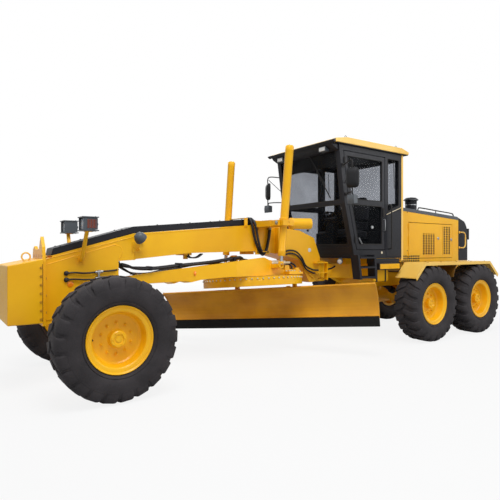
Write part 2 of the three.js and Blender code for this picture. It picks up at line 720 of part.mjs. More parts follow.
// ---- rear frame and running gear ----
function rearFrame() {
  const x = (back) => frontAxleX - back;
  const hub = rod([articulationX, 0, 1140], [articulationX, 0, 1390], 150, 20);
  const neck = planPlate([
    [articulationX, -130], [articulationX, 130], [x(4200), 150], [x(4420), 420], [x(4660), 430],
    [x(4660), -430], [x(4420), -420], [x(4200), -150],
  ].reverse(), [1140, 1390]);
  let frame = union(hub, neck);
  for (const side of [1, -1]) {
    frame = frame.add(sidePlate([
      [x(4640), 1390], [x(4640), 1140], [x(5050), 960], [x(7900), 960], [x(7960), 1040], [x(7960), 1390],
    ].reverse(), bySide(side, 290, 430)));
    const outrigger = bySide(side, 420, cabHalfWidth - 20);
    frame = frame.add(block([x(5300), x(4500)], outrigger, [1390, cabFloorZ - contactGap]));
  }
  frame = union(
    frame,
    block([x(5300), x(4300)], [-430, 430], [1380, cabFloorZ - contactGap]),
    block([x(5150), x(4950)], [-300, 300], [1000, 1390]),
    block([x(7960), x(7840)], [-430, 430], [960, 1390]),
    block([x(6350), x(6250)], [-300, 300], [970, 1100]),
    block([x(6650), x(6550)], [-300, 300], [970, 1100]),
  );
  const pinBore = bore([articulationX, 0, 1100], [articulationX, 0, 1420], articulationPinRadius, 14);
  return part('rear_frame', frame.subtract(pinBore), paint);
}

function rearAxle() {
  const tubeEnd = tandemInnerY - runningGap;
  const tube = rod([tandemX, -tubeEnd, tandemPinZ], [tandemX, tubeEnd, tandemPinZ], 150, 16);
  const bulge = rod([tandemX, -190, tandemPinZ], [tandemX, 190, tandemPinZ], 215, 16);
  let axle = union(tube, bulge);
  for (const side of [1, -1]) {
    const saddleY = bySide(side, 300, 420);
    axle = axle.add(block([tandemX - 160, tandemX + 160], saddleY, [tandemPinZ, 960 - contactGap]));
    const y = bySide(side, tandemInnerY - 60, tandemOuterY - 40);
    axle = axle.add(rod([tandemX, y[0], tandemPinZ], [tandemX, y[1], tandemPinZ], tandemPinRadius, 14));
  }
  return part('rear_axle', axle, paint);
}

function tandemBox(side) {
  const half = tandemSpacing / 2;
  const end = 170;
  const y = bySide(side, tandemInnerY, tandemOuterY);
  const z = wheelRadius;
  const front = ringPoints(end, -Math.PI / 2, Math.PI / 2, 8, [tandemX + half, z]);
  const rear = ringPoints(end, Math.PI / 2, (3 * Math.PI) / 2, 8, [tandemX - half, z]);
  let box = sidePlate([...front, [tandemX, z + 230], ...rear, [tandemX, z - 200]], y);
  for (const forward of [half, -half]) {
    const from = [tandemX + forward, side * (tandemOuterY - 5), z];
    box = box.add(rod(from, [tandemX + forward, side * (wheelY + discBack - pinGap), z], 105, 14));
  }
  const inside = bySide(side, tandemInnerY - 10, tandemOuterY - 30);
  const hole = bore([tandemX, inside[0], tandemPinZ], [tandemX, inside[1], tandemPinZ], tandemPinRadius, 14);
  return part(`tandem_box_${sideName(side)}`, box.subtract(hole), paint);
}

function fender(side) {
  const t = fenderThickness;
  const at = (ahead) => tandemX + ahead;
  const top = [[at(1320), 1160], [at(1050), fenderTopZ], [at(-1130), fenderTopZ], [at(-1450), 1140]];
  const under = top.map(([u, v]) => [u, v - t]);
  let cover = sidePlate([...under, ...[...top].reverse()], bySide(side, fenderInnerY, fenderOuterY));
  const postInnerY = tandemInnerY + 30;
  const postOuterY = tandemInnerY + 110;
  const half = tandemSpacing / 2;
  for (const [from, to] of [[-60, 60], [half + 40, half + 100], [-half - 100, -half - 40]]) {
    const along = [tandemX + from, tandemX + to];
    const ledge = bySide(side, postInnerY, fenderInnerY + 30);
    cover = cover.add(block(along, bySide(side, postInnerY, postOuterY), [wheelRadius, fenderTopZ - t / 2]));
    cover = cover.add(block(along, ledge, [fenderTopZ - t - 12, fenderTopZ - t / 2]));
  }
  return part(`fender_${sideName(side)}`, cover.subtract(grownTandemSide(side)), paint);
}

// the tandem box's outline grown by the contact gap, to cut the fender's posts
function grownTandemSide(side) {
  const half = tandemSpacing / 2;
  const end = 170 + contactGap;
  const z = wheelRadius;
  const front = ringPoints(end, -Math.PI / 2, Math.PI / 2, 8, [tandemX + half, z]);
  const rear = ringPoints(end, Math.PI / 2, (3 * Math.PI) / 2, 8, [tandemX - half, z]);
  const slopeGap = 2 * contactGap;
  const outline = [...front, [tandemX, z + 230 + slopeGap], ...rear, [tandemX, z - 200 - slopeGap]];
  return sidePlate(outline, bySide(side, tandemInnerY - contactGap, tandemOuterY + contactGap));
}

// ---- cab ----
const cabFront = [[-4100, cabFloorZ], [-4075, 1640], [-3880, 2400], [-3740, cabRoofZ]];

function cabOutline(inset, frontInset = inset) {
  return fromAxle([
    [-cabRearBack + inset, cabFloorZ + inset], [cabFront[0][0] - frontInset, cabFloorZ + inset],
    [cabFront[1][0] - frontInset, cabFront[1][1]], [cabFront[2][0] - frontInset, cabFront[2][1]],
    [cabFront[3][0] - frontInset, cabRoofZ - inset], [-cabRearBack + inset, cabRoofZ - inset],
  ]);
}

// a sloped line beside the front edge, at a distance behind it
function behindFront(distance, z) {
  const [low, mid, high] = cabFront.slice(1);
  const [a, b] = z < mid[1] ? [low, mid] : [mid, high];
  return a[0] + ((b[0] - a[0]) * (z - a[1])) / (b[1] - a[1]) - distance;
}

const doorBottomZ = 1640;
const doorTopZ = 3250;
const doorRailZ = 2430;

function doorOutline(grow) {
  const low = doorBottomZ - grow;
  const high = doorTopZ + grow;
  const edge = 95 - grow;
  return fromAxle([
    [-postBack - grow, low], [behindFront(edge, doorBottomZ + 5), low], [behindFront(edge, 2400), 2400],
    [behindFront(edge, doorTopZ), high], [-postBack - grow, high],
  ]);
}

function sidePane(low, high, frontEdge, rear) {
  return fromAxle([
    [rear, low], [behindFront(frontEdge, low), low], [behindFront(frontEdge, high), high], [rear, high],
  ]);
}

function cabShell() {
  const half = cabHalfWidth;
  let shell = sidePlate(cabOutline(0), [-half, half]);
  shell = shell.subtract(sidePlate(cabOutline(cabWall), [-half + cabWall, half - cabWall]));
  for (const side of [1, -1]) {
    const across = bySide(side, half - cabWall - 20, half + 20);
    shell = shell.subtract(sidePlate(doorOutline(doorGap), across));
    shell = shell.subtract(sidePlate(fromAxle([
      [-5270, 2430], [-4960, 2300], [-4960, 3240], [-5270, 3240],
    ]), across));
  }
  const frontCut = [frontAxleX - 4300, frontAxleX - 3600];
  shell = shell.subtract(block(frontCut, [-half + 85, half - 85], [2450, 3270]));
  shell = shell.subtract(block(frontCut, [-half + 85, half - 85], [1720, 2390]));
  const rearCut = [frontAxleX - 5400, frontAxleX - 5290];
  shell = shell.subtract(block(rearCut, [-half + 110, half - 110], [2480, 3230]));
  return part('cab_shell', shell, darkPaint);
}

function cabRoof() {
  const x = (back) => frontAxleX - back;
  const half = cabHalfWidth + 50;
  const roof = sidePlate([
    [x(5490), cabRoofZ + contactGap], [x(3590), cabRoofZ + contactGap], [x(3560), cabRoofZ + 20],
    [x(3640), cabRoofZ + 62], [x(3900), cabRoofZ + roofThickness], [x(5300), cabRoofZ + roofThickness],
    [x(5510), cabRoofZ + 50],
  ], [-half, half]);
  return part('cab_roof', roof, paint);
}

function door(side) {
  const outer = cabHalfWidth;
  const y = bySide(side, outer - doorThickness, outer);
  const through = bySide(side, outer - doorThickness - 10, outer + 10);
  let leaf = sidePlate(doorOutline(0), y);
  const rear = -postBack + 75;
  leaf = leaf.subtract(sidePlate(sidePane(doorRailZ + 45, doorTopZ - 75, 165, rear), through));
  leaf = leaf.subtract(sidePlate(sidePane(doorBottomZ + 90, doorRailZ - 45, 165, rear), through));
  return part(`door_${sideName(side)}`, leaf, darkPaint);
}

function operatorSeat() {
  const x = frontAxleX - 4880;
  const floor = cabFloorZ + cabWall + contactGap;
  const seat = union(
    block([x - 200, x + 180], [-190, 190], [floor, floor + 330]),
    block([x - 240, x + 270], [-260, 260], [floor + 330, floor + 460]),
    sidePlate([
      [x - 240, floor + 400], [x - 110, floor + 400], [x - 190, floor + 1080], [x - 310, floor + 1080],
    ], [-240, 240]),
  );
  return part('operator_seat', seat, fabric);
}

function steeringConsole() {
  const x = frontAxleX - 4370;
  const floor = cabFloorZ + cabWall + contactGap;
  const column = sidePlate([
    [x - 60, floor], [x + 90, floor], [x + 20, floor + 640], [x - 90, floor + 610],
  ], [-110, 110]);
  const tilt = new THREE.Vector3(-0.45, 0, 0.89).multiplyScalar(30).toArray();
  const centre = [x - 60, 0, floor + 700];
  const low = centre.map((value, i) => value - tilt[i] / 2);
  const high = centre.map((value, i) => value + tilt[i] / 2);
  const wheelRing = rod(low, high, 205, 16).subtract(rod(
    low.map((value, i) => value - tilt[i]), high.map((value, i) => value + tilt[i]), 175, 16,
  ));
  const spokes = rod(low, high, 60, 8);
  const cross = block([x - 90, x - 30], [-190, 190], [floor + 690, floor + 710]);
  const stem = rod([x - 30, 0, floor + 580], centre, 34, 8);
  return part('steering_console', union(column, wheelRing, spokes, cross, stem), darkPaint);
}

// ---- hood ----
const hoodTop = [[-hoodFrontBack, 2440], [-7600, 2330], [-7850, 2250], [-hoodRearBack, 2050]];
const engineDoor = { front: 5905, rear: 7385, low: 1475, high: 2160 };

function hoodShell() {
  const t = hoodWall;
  const outline = fromAxle([
    [-hoodFrontBack, hoodBottomZ], ...hoodTop, [-hoodRearBack, hoodBottomZ],
  ]);
  const inner = fromAxle([
    [-hoodFrontBack - t, hoodBottomZ - 20], [-hoodFrontBack - t, 2440 - t - 2], [-7600, 2330 - t],
    [-7850 + 20, 2250 - t], [-hoodRearBack + t, 2050 - 20], [-hoodRearBack + t, hoodBottomZ - 20],
  ]);
  let shell = sidePlate(outline, [-hoodHalfWidth, hoodHalfWidth]);
  shell = shell.subtract(sidePlate(inner, [-hoodHalfWidth + t, hoodHalfWidth - t]));
  const { front, rear, low, high } = engineDoor;
  for (const side of [1, -1]) {
    const across = bySide(side, hoodHalfWidth - t - 20, hoodHalfWidth + 20);
    shell = shell.subtract(block(
      [frontAxleX - rear - doorGap, frontAxleX - front + doorGap], across, [low - doorGap, high + doorGap],
    ));
  }
  const hoodAlong = [frontAxleX - hoodRearBack, frontAxleX - hoodFrontBack];
  const foot = block(hoodAlong, [-430, 430], [1390, hoodBottomZ + 5]);
  return part('hood_shell', shell.subtract(foot), paint);
}

function engineDoorLeaf(side) {
  const { front, rear, low, high } = engineDoor;
  const y = bySide(side, hoodHalfWidth - hoodWall, hoodHalfWidth);
  let leaf = block([frontAxleX - rear, frontAxleX - front], y, [low, high]);
  const outer = bySide(side, hoodHalfWidth - 12, hoodHalfWidth + 5);
  for (const [from, to, bottom, top] of [[6340, 6760, 1530, 1960], [7040, 7320, 1535, 2110]]) {
    leaf = leaf.subtract(block([frontAxleX - to, frontAxleX - from], outer, [bottom, top]));
  }
  return part(`engine_door_${sideName(side)}`, leaf, paint);
}

function engineBlock() {
  const x = (back) => frontAxleX - back;
  const engine = union(
    block([x(7000), x(5950)], [-330, 330], [1390 + contactGap, 2080]),
    block([x(7100), x(6900)], [-120, 120], [1500, 1900]),
    block([x(7720), x(7480)], [-430, 430], [1390 + contactGap, 2080]),
    block([x(7500), x(7080)], [-180, 180], [1500, 1700]),
  );
  return part('engine_block', engine, wornSteel);
}

function intakeStack() {
  const x = frontAxleX - 6500;
  const topAt = (back) => 2440 + ((2330 - 2440) * (back - hoodFrontBack)) / (7600 - hoodFrontBack);
  const z = topAt(6400) + 12;
  const base = sidePlate(fromAxle([
    [-6330, topAt(6330) + contactGap], [-6330, topAt(6330) + 60], [-6680, topAt(6330) + 60],
    [-6680, topAt(6680) + contactGap],
  ]).reverse(), [20, 330]);
  const can = union(
    rod([x, 175, z], [x, 175, 2600], 125, 20),
    rod([x, 175, 2590], [x, 175, 2690], 165, 20, 120),
  );
  return part('intake_stack', union(base, can), darkPaint);
}

// ---- steps and mirrors ----
function ladder(side) {
  const x = (back) => frontAxleX - back;
  const y = bySide(side, cabHalfWidth + 20, cabHalfWidth + 180);
  const rail = (back, lean) => sidePlate([
    [x(back), 1150], [x(back + 45), 1150], [x(back + 45 - lean), cabFloorZ + 60],
    [x(back - lean), cabFloorZ + 60],
  ].reverse(), y);
  let steps = union(rail(4050, 60), rail(4420, 30));
  for (const z of [1165, 1330, 1490]) {
    steps = steps.add(block([x(4450), x(4060)], y, [z, z + 26]));
  }
  const mountY = bySide(side, cabHalfWidth - 20 + contactGap, cabHalfWidth + 60);
  steps = steps.add(block([x(5200), x(4430)], mountY, [1400, 1480]));
  const box = block([x(5160), x(4600)], bySide(side, cabHalfWidth - 10, cabHalfWidth + 110), [1290, 1405]);
  return part(`step_${sideName(side)}`, union(steps, box), darkPaint);
}

function mirror(side) {
  const x = frontAxleX - 3740;
  const y = side * 1085;
  const wallY = side * (cabHalfWidth + contactGap);
  const pillarX = (z) => frontAxleX + behindFront(45, z);
  const head = new THREE.SphereGeometry(1, 10, 6);
  head.scale(42, 95, 180);
  head.translate(x, y, 2795);
  let arms = rod([x, y, 3020], [x, y, 2480], 11, 6);
  for (const z of [3010, 2540]) {
    const along = [pillarX(z) - 30, pillarX(z) + 30];
    const foot = block(along, bySide(side, cabHalfWidth, cabHalfWidth + 14), [z - 20, z + 20]);
    arms = union(arms, foot, rod([pillarX(z), wallY, z], [x, y, z], 11, 6));
  }
  const lamp = block([x - 60, x + 40], bySide(side, 1010, 1150), [2360, 2490]);
  const wall = block([x - 400, x + 200], bySide(side, 0, cabHalfWidth + contactGap), [2300, 3100]);
  return part(`mirror_${sideName(side)}`, union(arms, lamp, manifoldOf(head)).subtract(wall), darkPaint);
}

// ---- assembly ----
const sides = [1, -1];
const grader = new THREE.Group();

grader.add(body(
  rearFrame(), rearAxle(), cabShell(), cabRoof(), operatorSeat(), steeringConsole(), hoodShell(),
  engineBlock(), intakeStack(), ...sides.map(ladder), ...sides.map(mirror),
  ...sides.map(door), ...sides.map(engineDoorLeaf),
));
grader.add(body(
  mainBeam(), beamCover(), frontWeight(), liftSaddle(), ...sides.map(headlamp),
));
grader.add(body(
  axleBeam(), ...sides.map(leanBracket), leanBar(), ...sides.map(knuckle), tieRodEnd(), tieRod(),
  ...sides.map((side) => wheel('front', frontAxleX, side)),
));
for (const side of sides) {
  grader.add(body(
    tandemBox(side), fender(side),
    wheel('middle', tandemX + tandemSpacing / 2, side), wheel('rear', tandemX - tandemSpacing / 2, side),
  ));
}

const turned = new THREE.Group();
turned.position.set(circleX, 0, 0);
turned.rotation.z = bladeAngle;
const tipped = new THREE.Group();
tipped.position.set(circleX + tipPivotX, 0, tipPivotZ);
tipped.rotation.y = bladeTip;
const aboutTip = body(bladeCarrier(), moldboard());
aboutTip.position.set(-circleX - tipPivotX, 0, -tipPivotZ);
tipped.add(aboutTip);
const aboutCircle = body(circle(), tipped);
aboutCircle.position.x = -circleX;
turned.add(aboutCircle);
grader.add(rolled(body(drawbar(), turned)));
grader.add(drawbarBall());
grader.add(...sides.map(liftYoke), ...sides.map(liftBarrel), ...sides.map(liftRod));

export default grader;
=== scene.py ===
import math

import bmesh
import bpy
from mathutils import Matrix, Vector


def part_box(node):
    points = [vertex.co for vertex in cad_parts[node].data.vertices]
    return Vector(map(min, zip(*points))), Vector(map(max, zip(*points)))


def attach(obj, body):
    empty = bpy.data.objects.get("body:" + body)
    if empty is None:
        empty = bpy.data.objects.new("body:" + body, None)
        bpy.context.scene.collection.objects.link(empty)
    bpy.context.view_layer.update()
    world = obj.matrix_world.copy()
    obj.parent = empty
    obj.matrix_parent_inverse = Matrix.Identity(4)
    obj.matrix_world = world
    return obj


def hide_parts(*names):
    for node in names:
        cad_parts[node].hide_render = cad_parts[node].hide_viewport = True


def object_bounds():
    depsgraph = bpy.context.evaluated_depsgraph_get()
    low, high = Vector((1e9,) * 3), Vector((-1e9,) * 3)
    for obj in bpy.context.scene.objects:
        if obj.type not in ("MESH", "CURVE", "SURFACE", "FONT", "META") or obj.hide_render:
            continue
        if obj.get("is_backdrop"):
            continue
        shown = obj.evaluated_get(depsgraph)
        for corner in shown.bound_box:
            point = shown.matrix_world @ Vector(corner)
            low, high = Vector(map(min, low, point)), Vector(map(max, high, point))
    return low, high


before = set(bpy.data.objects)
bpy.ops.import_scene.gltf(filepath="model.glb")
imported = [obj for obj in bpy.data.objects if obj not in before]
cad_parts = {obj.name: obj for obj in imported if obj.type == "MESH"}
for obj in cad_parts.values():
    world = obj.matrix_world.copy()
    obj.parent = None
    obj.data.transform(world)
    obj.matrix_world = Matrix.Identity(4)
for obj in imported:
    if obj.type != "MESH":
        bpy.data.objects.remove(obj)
CAD_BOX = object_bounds()
SIDES = (("left", 1), ("right", -1))


# ---- frame helpers ----
def low(node):
    """The lowest corner of a CAD node."""
    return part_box(node)[0]


def high(node):
    """The highest corner of a CAD node."""
    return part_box(node)[1]


def middle(node):
    """The middle of a CAD node's box."""
    return (low(node) + high(node)) / 2


AXLE = middle("tyre_front_left")
AXLE_X = AXLE.x
BALL = middle("drawbar_ball")
BALL_Z = BALL.z
CIRCLE_X = AXLE_X - 2.60
BEAM_HALF = 0.2
TYRE_RADIUS = 0.675
TANDEM_FACE = 0.830
REAR_AXLE_Z = 0.72
LEAN_PIN_Y = 0.80
LEAN_PIN_Z = 0.60
AXLE_PIN_Z = 0.745


def ahead(distance):
    """x of a point that many metres ahead of the front axle."""
    return AXLE_X + distance


def from_axle(points):
    """Points whose first value is the distance ahead of the front axle."""
    return [(ahead(distance), *rest) for distance, *rest in points]


ROLL_ANGLE = math.radians(5.3)
BLADE_ANGLE = math.radians(30.3)
ROLLED = (
    Matrix.Translation((0, 0, BALL_Z))
    @ Matrix.Rotation(ROLL_ANGLE, 4, "X")
    @ Matrix.Translation((0, 0, -BALL_Z))
)
TURNED = (
    ROLLED
    @ Matrix.Translation((CIRCLE_X, 0, 0))
    @ Matrix.Rotation(BLADE_ANGLE, 4, "Z")
)


# ---- materials ----
def new_material(name):
    """A material with its node tree and its main shader."""
    material = bpy.data.materials.new(name)
    material.use_nodes = True
    tree = material.node_tree
    shader = tree.nodes["Principled BSDF"]
    return material, tree, shader


def object_noise(tree, scale, detail=4, stretch=(1, 1, 1)):
    """Noise laid out in the object's own coordinates."""
    coords = tree.nodes.new("ShaderNodeTexCoord")
    mapping = tree.nodes.new("ShaderNodeMapping")
    mapping.inputs["Scale"].default_value = stretch
    noise = tree.nodes.new("ShaderNodeTexNoise")
    noise.inputs["Scale"].default_value = scale
    noise.inputs["Detail"].default_value = detail
    tree.links.new(coords.outputs["Object"], mapping.inputs["Vector"])
    tree.links.new(mapping.outputs["Vector"], noise.inputs["Vector"])
    return noise


def ramp(tree, source, stops):
    """Turns a value into a colour by stops of (place, colour)."""
    node = tree.nodes.new("ShaderNodeValToRGB")
    elements = node.color_ramp.elements
    while len(elements) < len(stops):
        elements.new(0.5)
    for element, (place, colour) in zip(elements, stops):
        element.position = place
        element.color = (*colour, 1) if len(colour) == 3 else colour
    tree.links.new(source, node.inputs["Fac"])
    return node.outputs["Color"]


def drive(tree, source, stops, socket):
    """Sends a value through a colour ramp into a shader socket."""
    tree.links.new(ramp(tree, source.outputs["Fac"], stops), socket)


def grey(value):
    return (value, value, value)


def bump(tree, shader, source, strength, distance):
    """Lets a value raise and lower the surface."""
    node = tree.nodes.new("ShaderNodeBump")
    node.inputs["Strength"].default_value = strength
    node.inputs["Distance"].default_value = distance
    tree.links.new(source, node.inputs["Height"])
    tree.links.new(node.outputs["Normal"], shader.inputs["Normal"])


def srgb(*values):
    """A colour written as the 0 to 255 values that a screen shows."""
    linear = []
    for value in values:
        v = value / 255
        linear.append(v / 12.92 if v <= 0.04045 else ((v + 0.055) / 1.055) ** 2.4)
    return tuple(linear)


def paint(name, light, dark, roughness=0.4, coat=0.12, grit=0.02, shine=0.35):
    """Painted metal or hard plastic, slightly uneven in colour and gloss."""
    material, tree, shader = new_material(name)
    broad = object_noise(tree, 1.6, 5)
    drive(tree, broad, [(0.3, dark), (0.62, light)], shader.inputs["Base Color"])
    fine = object_noise(tree, 34, 6)
    drive(
        tree, fine, [(0.3, grey(roughness - 0.07)), (0.75, grey(roughness + 0.12))],
        shader.inputs["Roughness"],
    )
    bump(tree, shader, fine.outputs["Fac"], grit, 0.004)
    shader.inputs["Coat Weight"].default_value = coat
    shader.inputs["Specular IOR Level"].default_value = shine
    shader.inputs["Coat Roughness"].default_value = 0.12
    return material


def rubber(name, light, dark, roughness=0.78):
    """Matt rubber with a fine grain."""
    material, tree, shader = new_material(name)
    broad = object_noise(tree, 5, 6)
    drive(tree, broad, [(0.32, dark), (0.68, light)], shader.inputs["Base Color"])
    fine = object_noise(tree, 90, 5)
    drive(
        tree, fine, [(0.3, grey(roughness - 0.1)), (0.7, grey(roughness + 0.1))],
        shader.inputs["Roughness"],
    )
    bump(tree, shader, fine.outputs["Fac"], 0.22, 0.004)
    shader.inputs["Specular IOR Level"].default_value = 0.35
    return material


def metal(name, light, dark, roughness=0.25, metallic=1.0, stretch=(1, 1, 1)):
    """Bare or plated metal."""
    material, tree, shader = new_material(name)
    broad = object_noise(tree, 9, 5, stretch)
    drive(tree, broad, [(0.3, dark), (0.7, light)], shader.inputs["Base Color"])
    fine = object_noise(tree, 70, 4, stretch)
    drive(
        tree, fine, [(0.3, grey(max(0.05, roughness - 0.1))), (0.7, grey(roughness + 0.12))],
        shader.inputs["Roughness"],
    )
    shader.inputs["Metallic"].default_value = metallic
    shader.inputs["Specular IOR Level"].default_value = 0.3
    return material


def glass(name, tint, alpha, roughness=0.04):
    """A lens: a smooth coloured cover that lets a little of what is behind it show."""
    material, tree, shader = new_material(name)
    streaks = object_noise(tree, 3, 3)
    brighter = tuple(c * 1.25 for c in tint)
    drive(tree, streaks, [(0.3, tint), (0.8, brighter)], shader.inputs["Base Color"])
    shader.inputs["Roughness"].default_value = roughness
    shader.inputs["Alpha"].default_value = alpha
    shader.inputs["IOR"].default_value = 1.5
    return material


def pane(name, tint, film, share):
    """Window glass: mostly see-through with a grey tint, and a thin dark glossy film."""
    material, tree, shader = new_material(name)
    streaks = object_noise(tree, 1.4, 3)
    clear = tree.nodes.new("ShaderNodeBsdfTransparent")
    darker = tuple(c * 0.9 for c in tint)
    drive(tree, streaks, [(0.35, darker), (0.7, tint)], clear.inputs["Color"])
    shader.inputs["Base Color"].default_value = (*film, 1)
    shader.inputs["Roughness"].default_value = 0.06
    mix = tree.nodes.new("ShaderNodeMixShader")
    mix.inputs["Fac"].default_value = share
    tree.links.new(clear.outputs["BSDF"], mix.inputs[1])
    tree.links.new(shader.outputs["BSDF"], mix.inputs[2])
    tree.links.new(mix.outputs["Shader"], tree.nodes["Material Output"].inputs["Surface"])
    return material


def weave(name, light, dark):
    """Woven cloth."""
    material, tree, shader = new_material(name)
    coords = tree.nodes.new("ShaderNodeTexCoord")
    wave = tree.nodes.new("ShaderNodeTexWave")
    wave.inputs["Scale"].default_value = 60
    wave.inputs["Distortion"].default_value = 1.2
    tree.links.new(coords.outputs["Object"], wave.inputs["Vector"])
    drive(tree, wave, [(0.2, dark), (0.8, light)], shader.inputs["Base Color"])
    bump(tree, shader, wave.outputs["Fac"], 0.3, 0.003)
    shader.inputs["Roughness"].default_value = 0.85
    shader.inputs["Sheen Weight"].default_value = 0.25
    return material


YELLOW = paint("yellow_paint", srgb(246, 186, 12), srgb(236, 170, 6), 0.4, 0.12)
BLADE_YELLOW = paint("blade_paint", srgb(222, 156, 20), srgb(190, 124, 12), 0.42, 0.12)
# a lighter copy of the yellow paint: painted highlight on the roof, fenders, ribs, rear posts, lifting ring
# and grab loops
LIT_YELLOW = paint("lit_yellow_paint", srgb(244, 200, 100), srgb(238, 188, 80), 0.4, 0.12)
# a darker brown copy of the yellow paint: painted shade, for the gap behind the front weight and the fender
# guard between the wheels
SHADED_YELLOW = paint("shaded_yellow_paint", srgb(122, 82, 14), srgb(92, 62, 12), 0.5, 0.05)
BLACK = paint("dark_paint", srgb(30, 31, 37), srgb(21, 22, 27), 0.46, 0.04, shine=0.22)
LAMP_GREY = paint("lamp_housing", srgb(78, 84, 90), srgb(62, 67, 73), 0.45, 0.1)
SHADE = paint("shadow_black", srgb(30, 28, 27), srgb(20, 19, 19), 0.6, 0.0, 0.08)
TRIM = paint("black_plastic", srgb(26, 27, 30), srgb(17, 18, 20), 0.55, 0.02, 0.12, 0.22)
PALE = paint("lamp_reflector", srgb(226, 226, 222), srgb(196, 198, 198), 0.25, 0.4)
RUBBER = rubber("tyre_rubber", srgb(53, 49, 51), srgb(38, 35, 37))
HOSE = rubber("black_hose", srgb(40, 40, 44), srgb(24, 24, 27), 0.5)
CHROME = metal("rod_chrome", srgb(214, 216, 220), srgb(180, 184, 190), 0.14)
STEEL = metal("zinc_steel", srgb(176, 178, 180), srgb(140, 142, 146), 0.32)
PALE_BOLT = metal("bright_steel", srgb(226, 214, 190), srgb(196, 182, 150), 0.4, 0.6)
BOLT = metal("dark_bolt", srgb(188, 140, 44), srgb(132, 96, 30), 0.45, 0.4)
BRASS = paint("bolt_paint", srgb(206, 148, 30), srgb(160, 108, 20), 0.45, 0.05)
IRON = metal("engine_iron", srgb(58, 58, 60), srgb(34, 34, 36), 0.5, 0.6)
EDGE = metal("cutting_steel", srgb(14, 13, 13), srgb(7, 7, 7), 0.7, 0.1)
GLASS = pane("window_glass", (0.76, 0.77, 0.79), srgb(70, 74, 80), 0.035)
LAMP = glass("lamp_glass", srgb(214, 220, 226), 0.55)
MIRROR = metal("mirror_glass", srgb(200, 206, 212), srgb(188, 194, 200), 0.06)
ORANGE = glass("orange_lens", srgb(238, 132, 20), 0.95, 0.2)
RED_BROWN = glass("turn_lens", srgb(112, 50, 34), 0.95, 0.25)
FABRIC = weave("seat_fabric", srgb(62, 63, 68), srgb(38, 39, 43))


# the slot listed for each material, which piece looks up when it is given none
SLOT_MATERIALS = {
    "yellow_paint": (YELLOW, BLADE_YELLOW, LIT_YELLOW, SHADED_YELLOW, BRASS),
    "dark_paint": (BLACK,),
    "black_plastic": (SHADE, TRIM, LAMP_GREY),
    "black_hose": (HOSE,),
    "rod_chrome": (CHROME, STEEL, PALE_BOLT),
    "engine_iron": (BOLT, IRON),
    "lamp_glass": (LAMP, PALE),
    "orange_lens": (ORANGE, RED_BROWN),
    "window_glass": (GLASS,),
    "mirror_glass": (MIRROR,),
    "tyre_rubber": (RUBBER,),
    "cutting_steel": (EDGE,),
}
USUAL_SLOT = {material.name: slot for slot, materials in SLOT_MATERIALS.items() for material in materials}


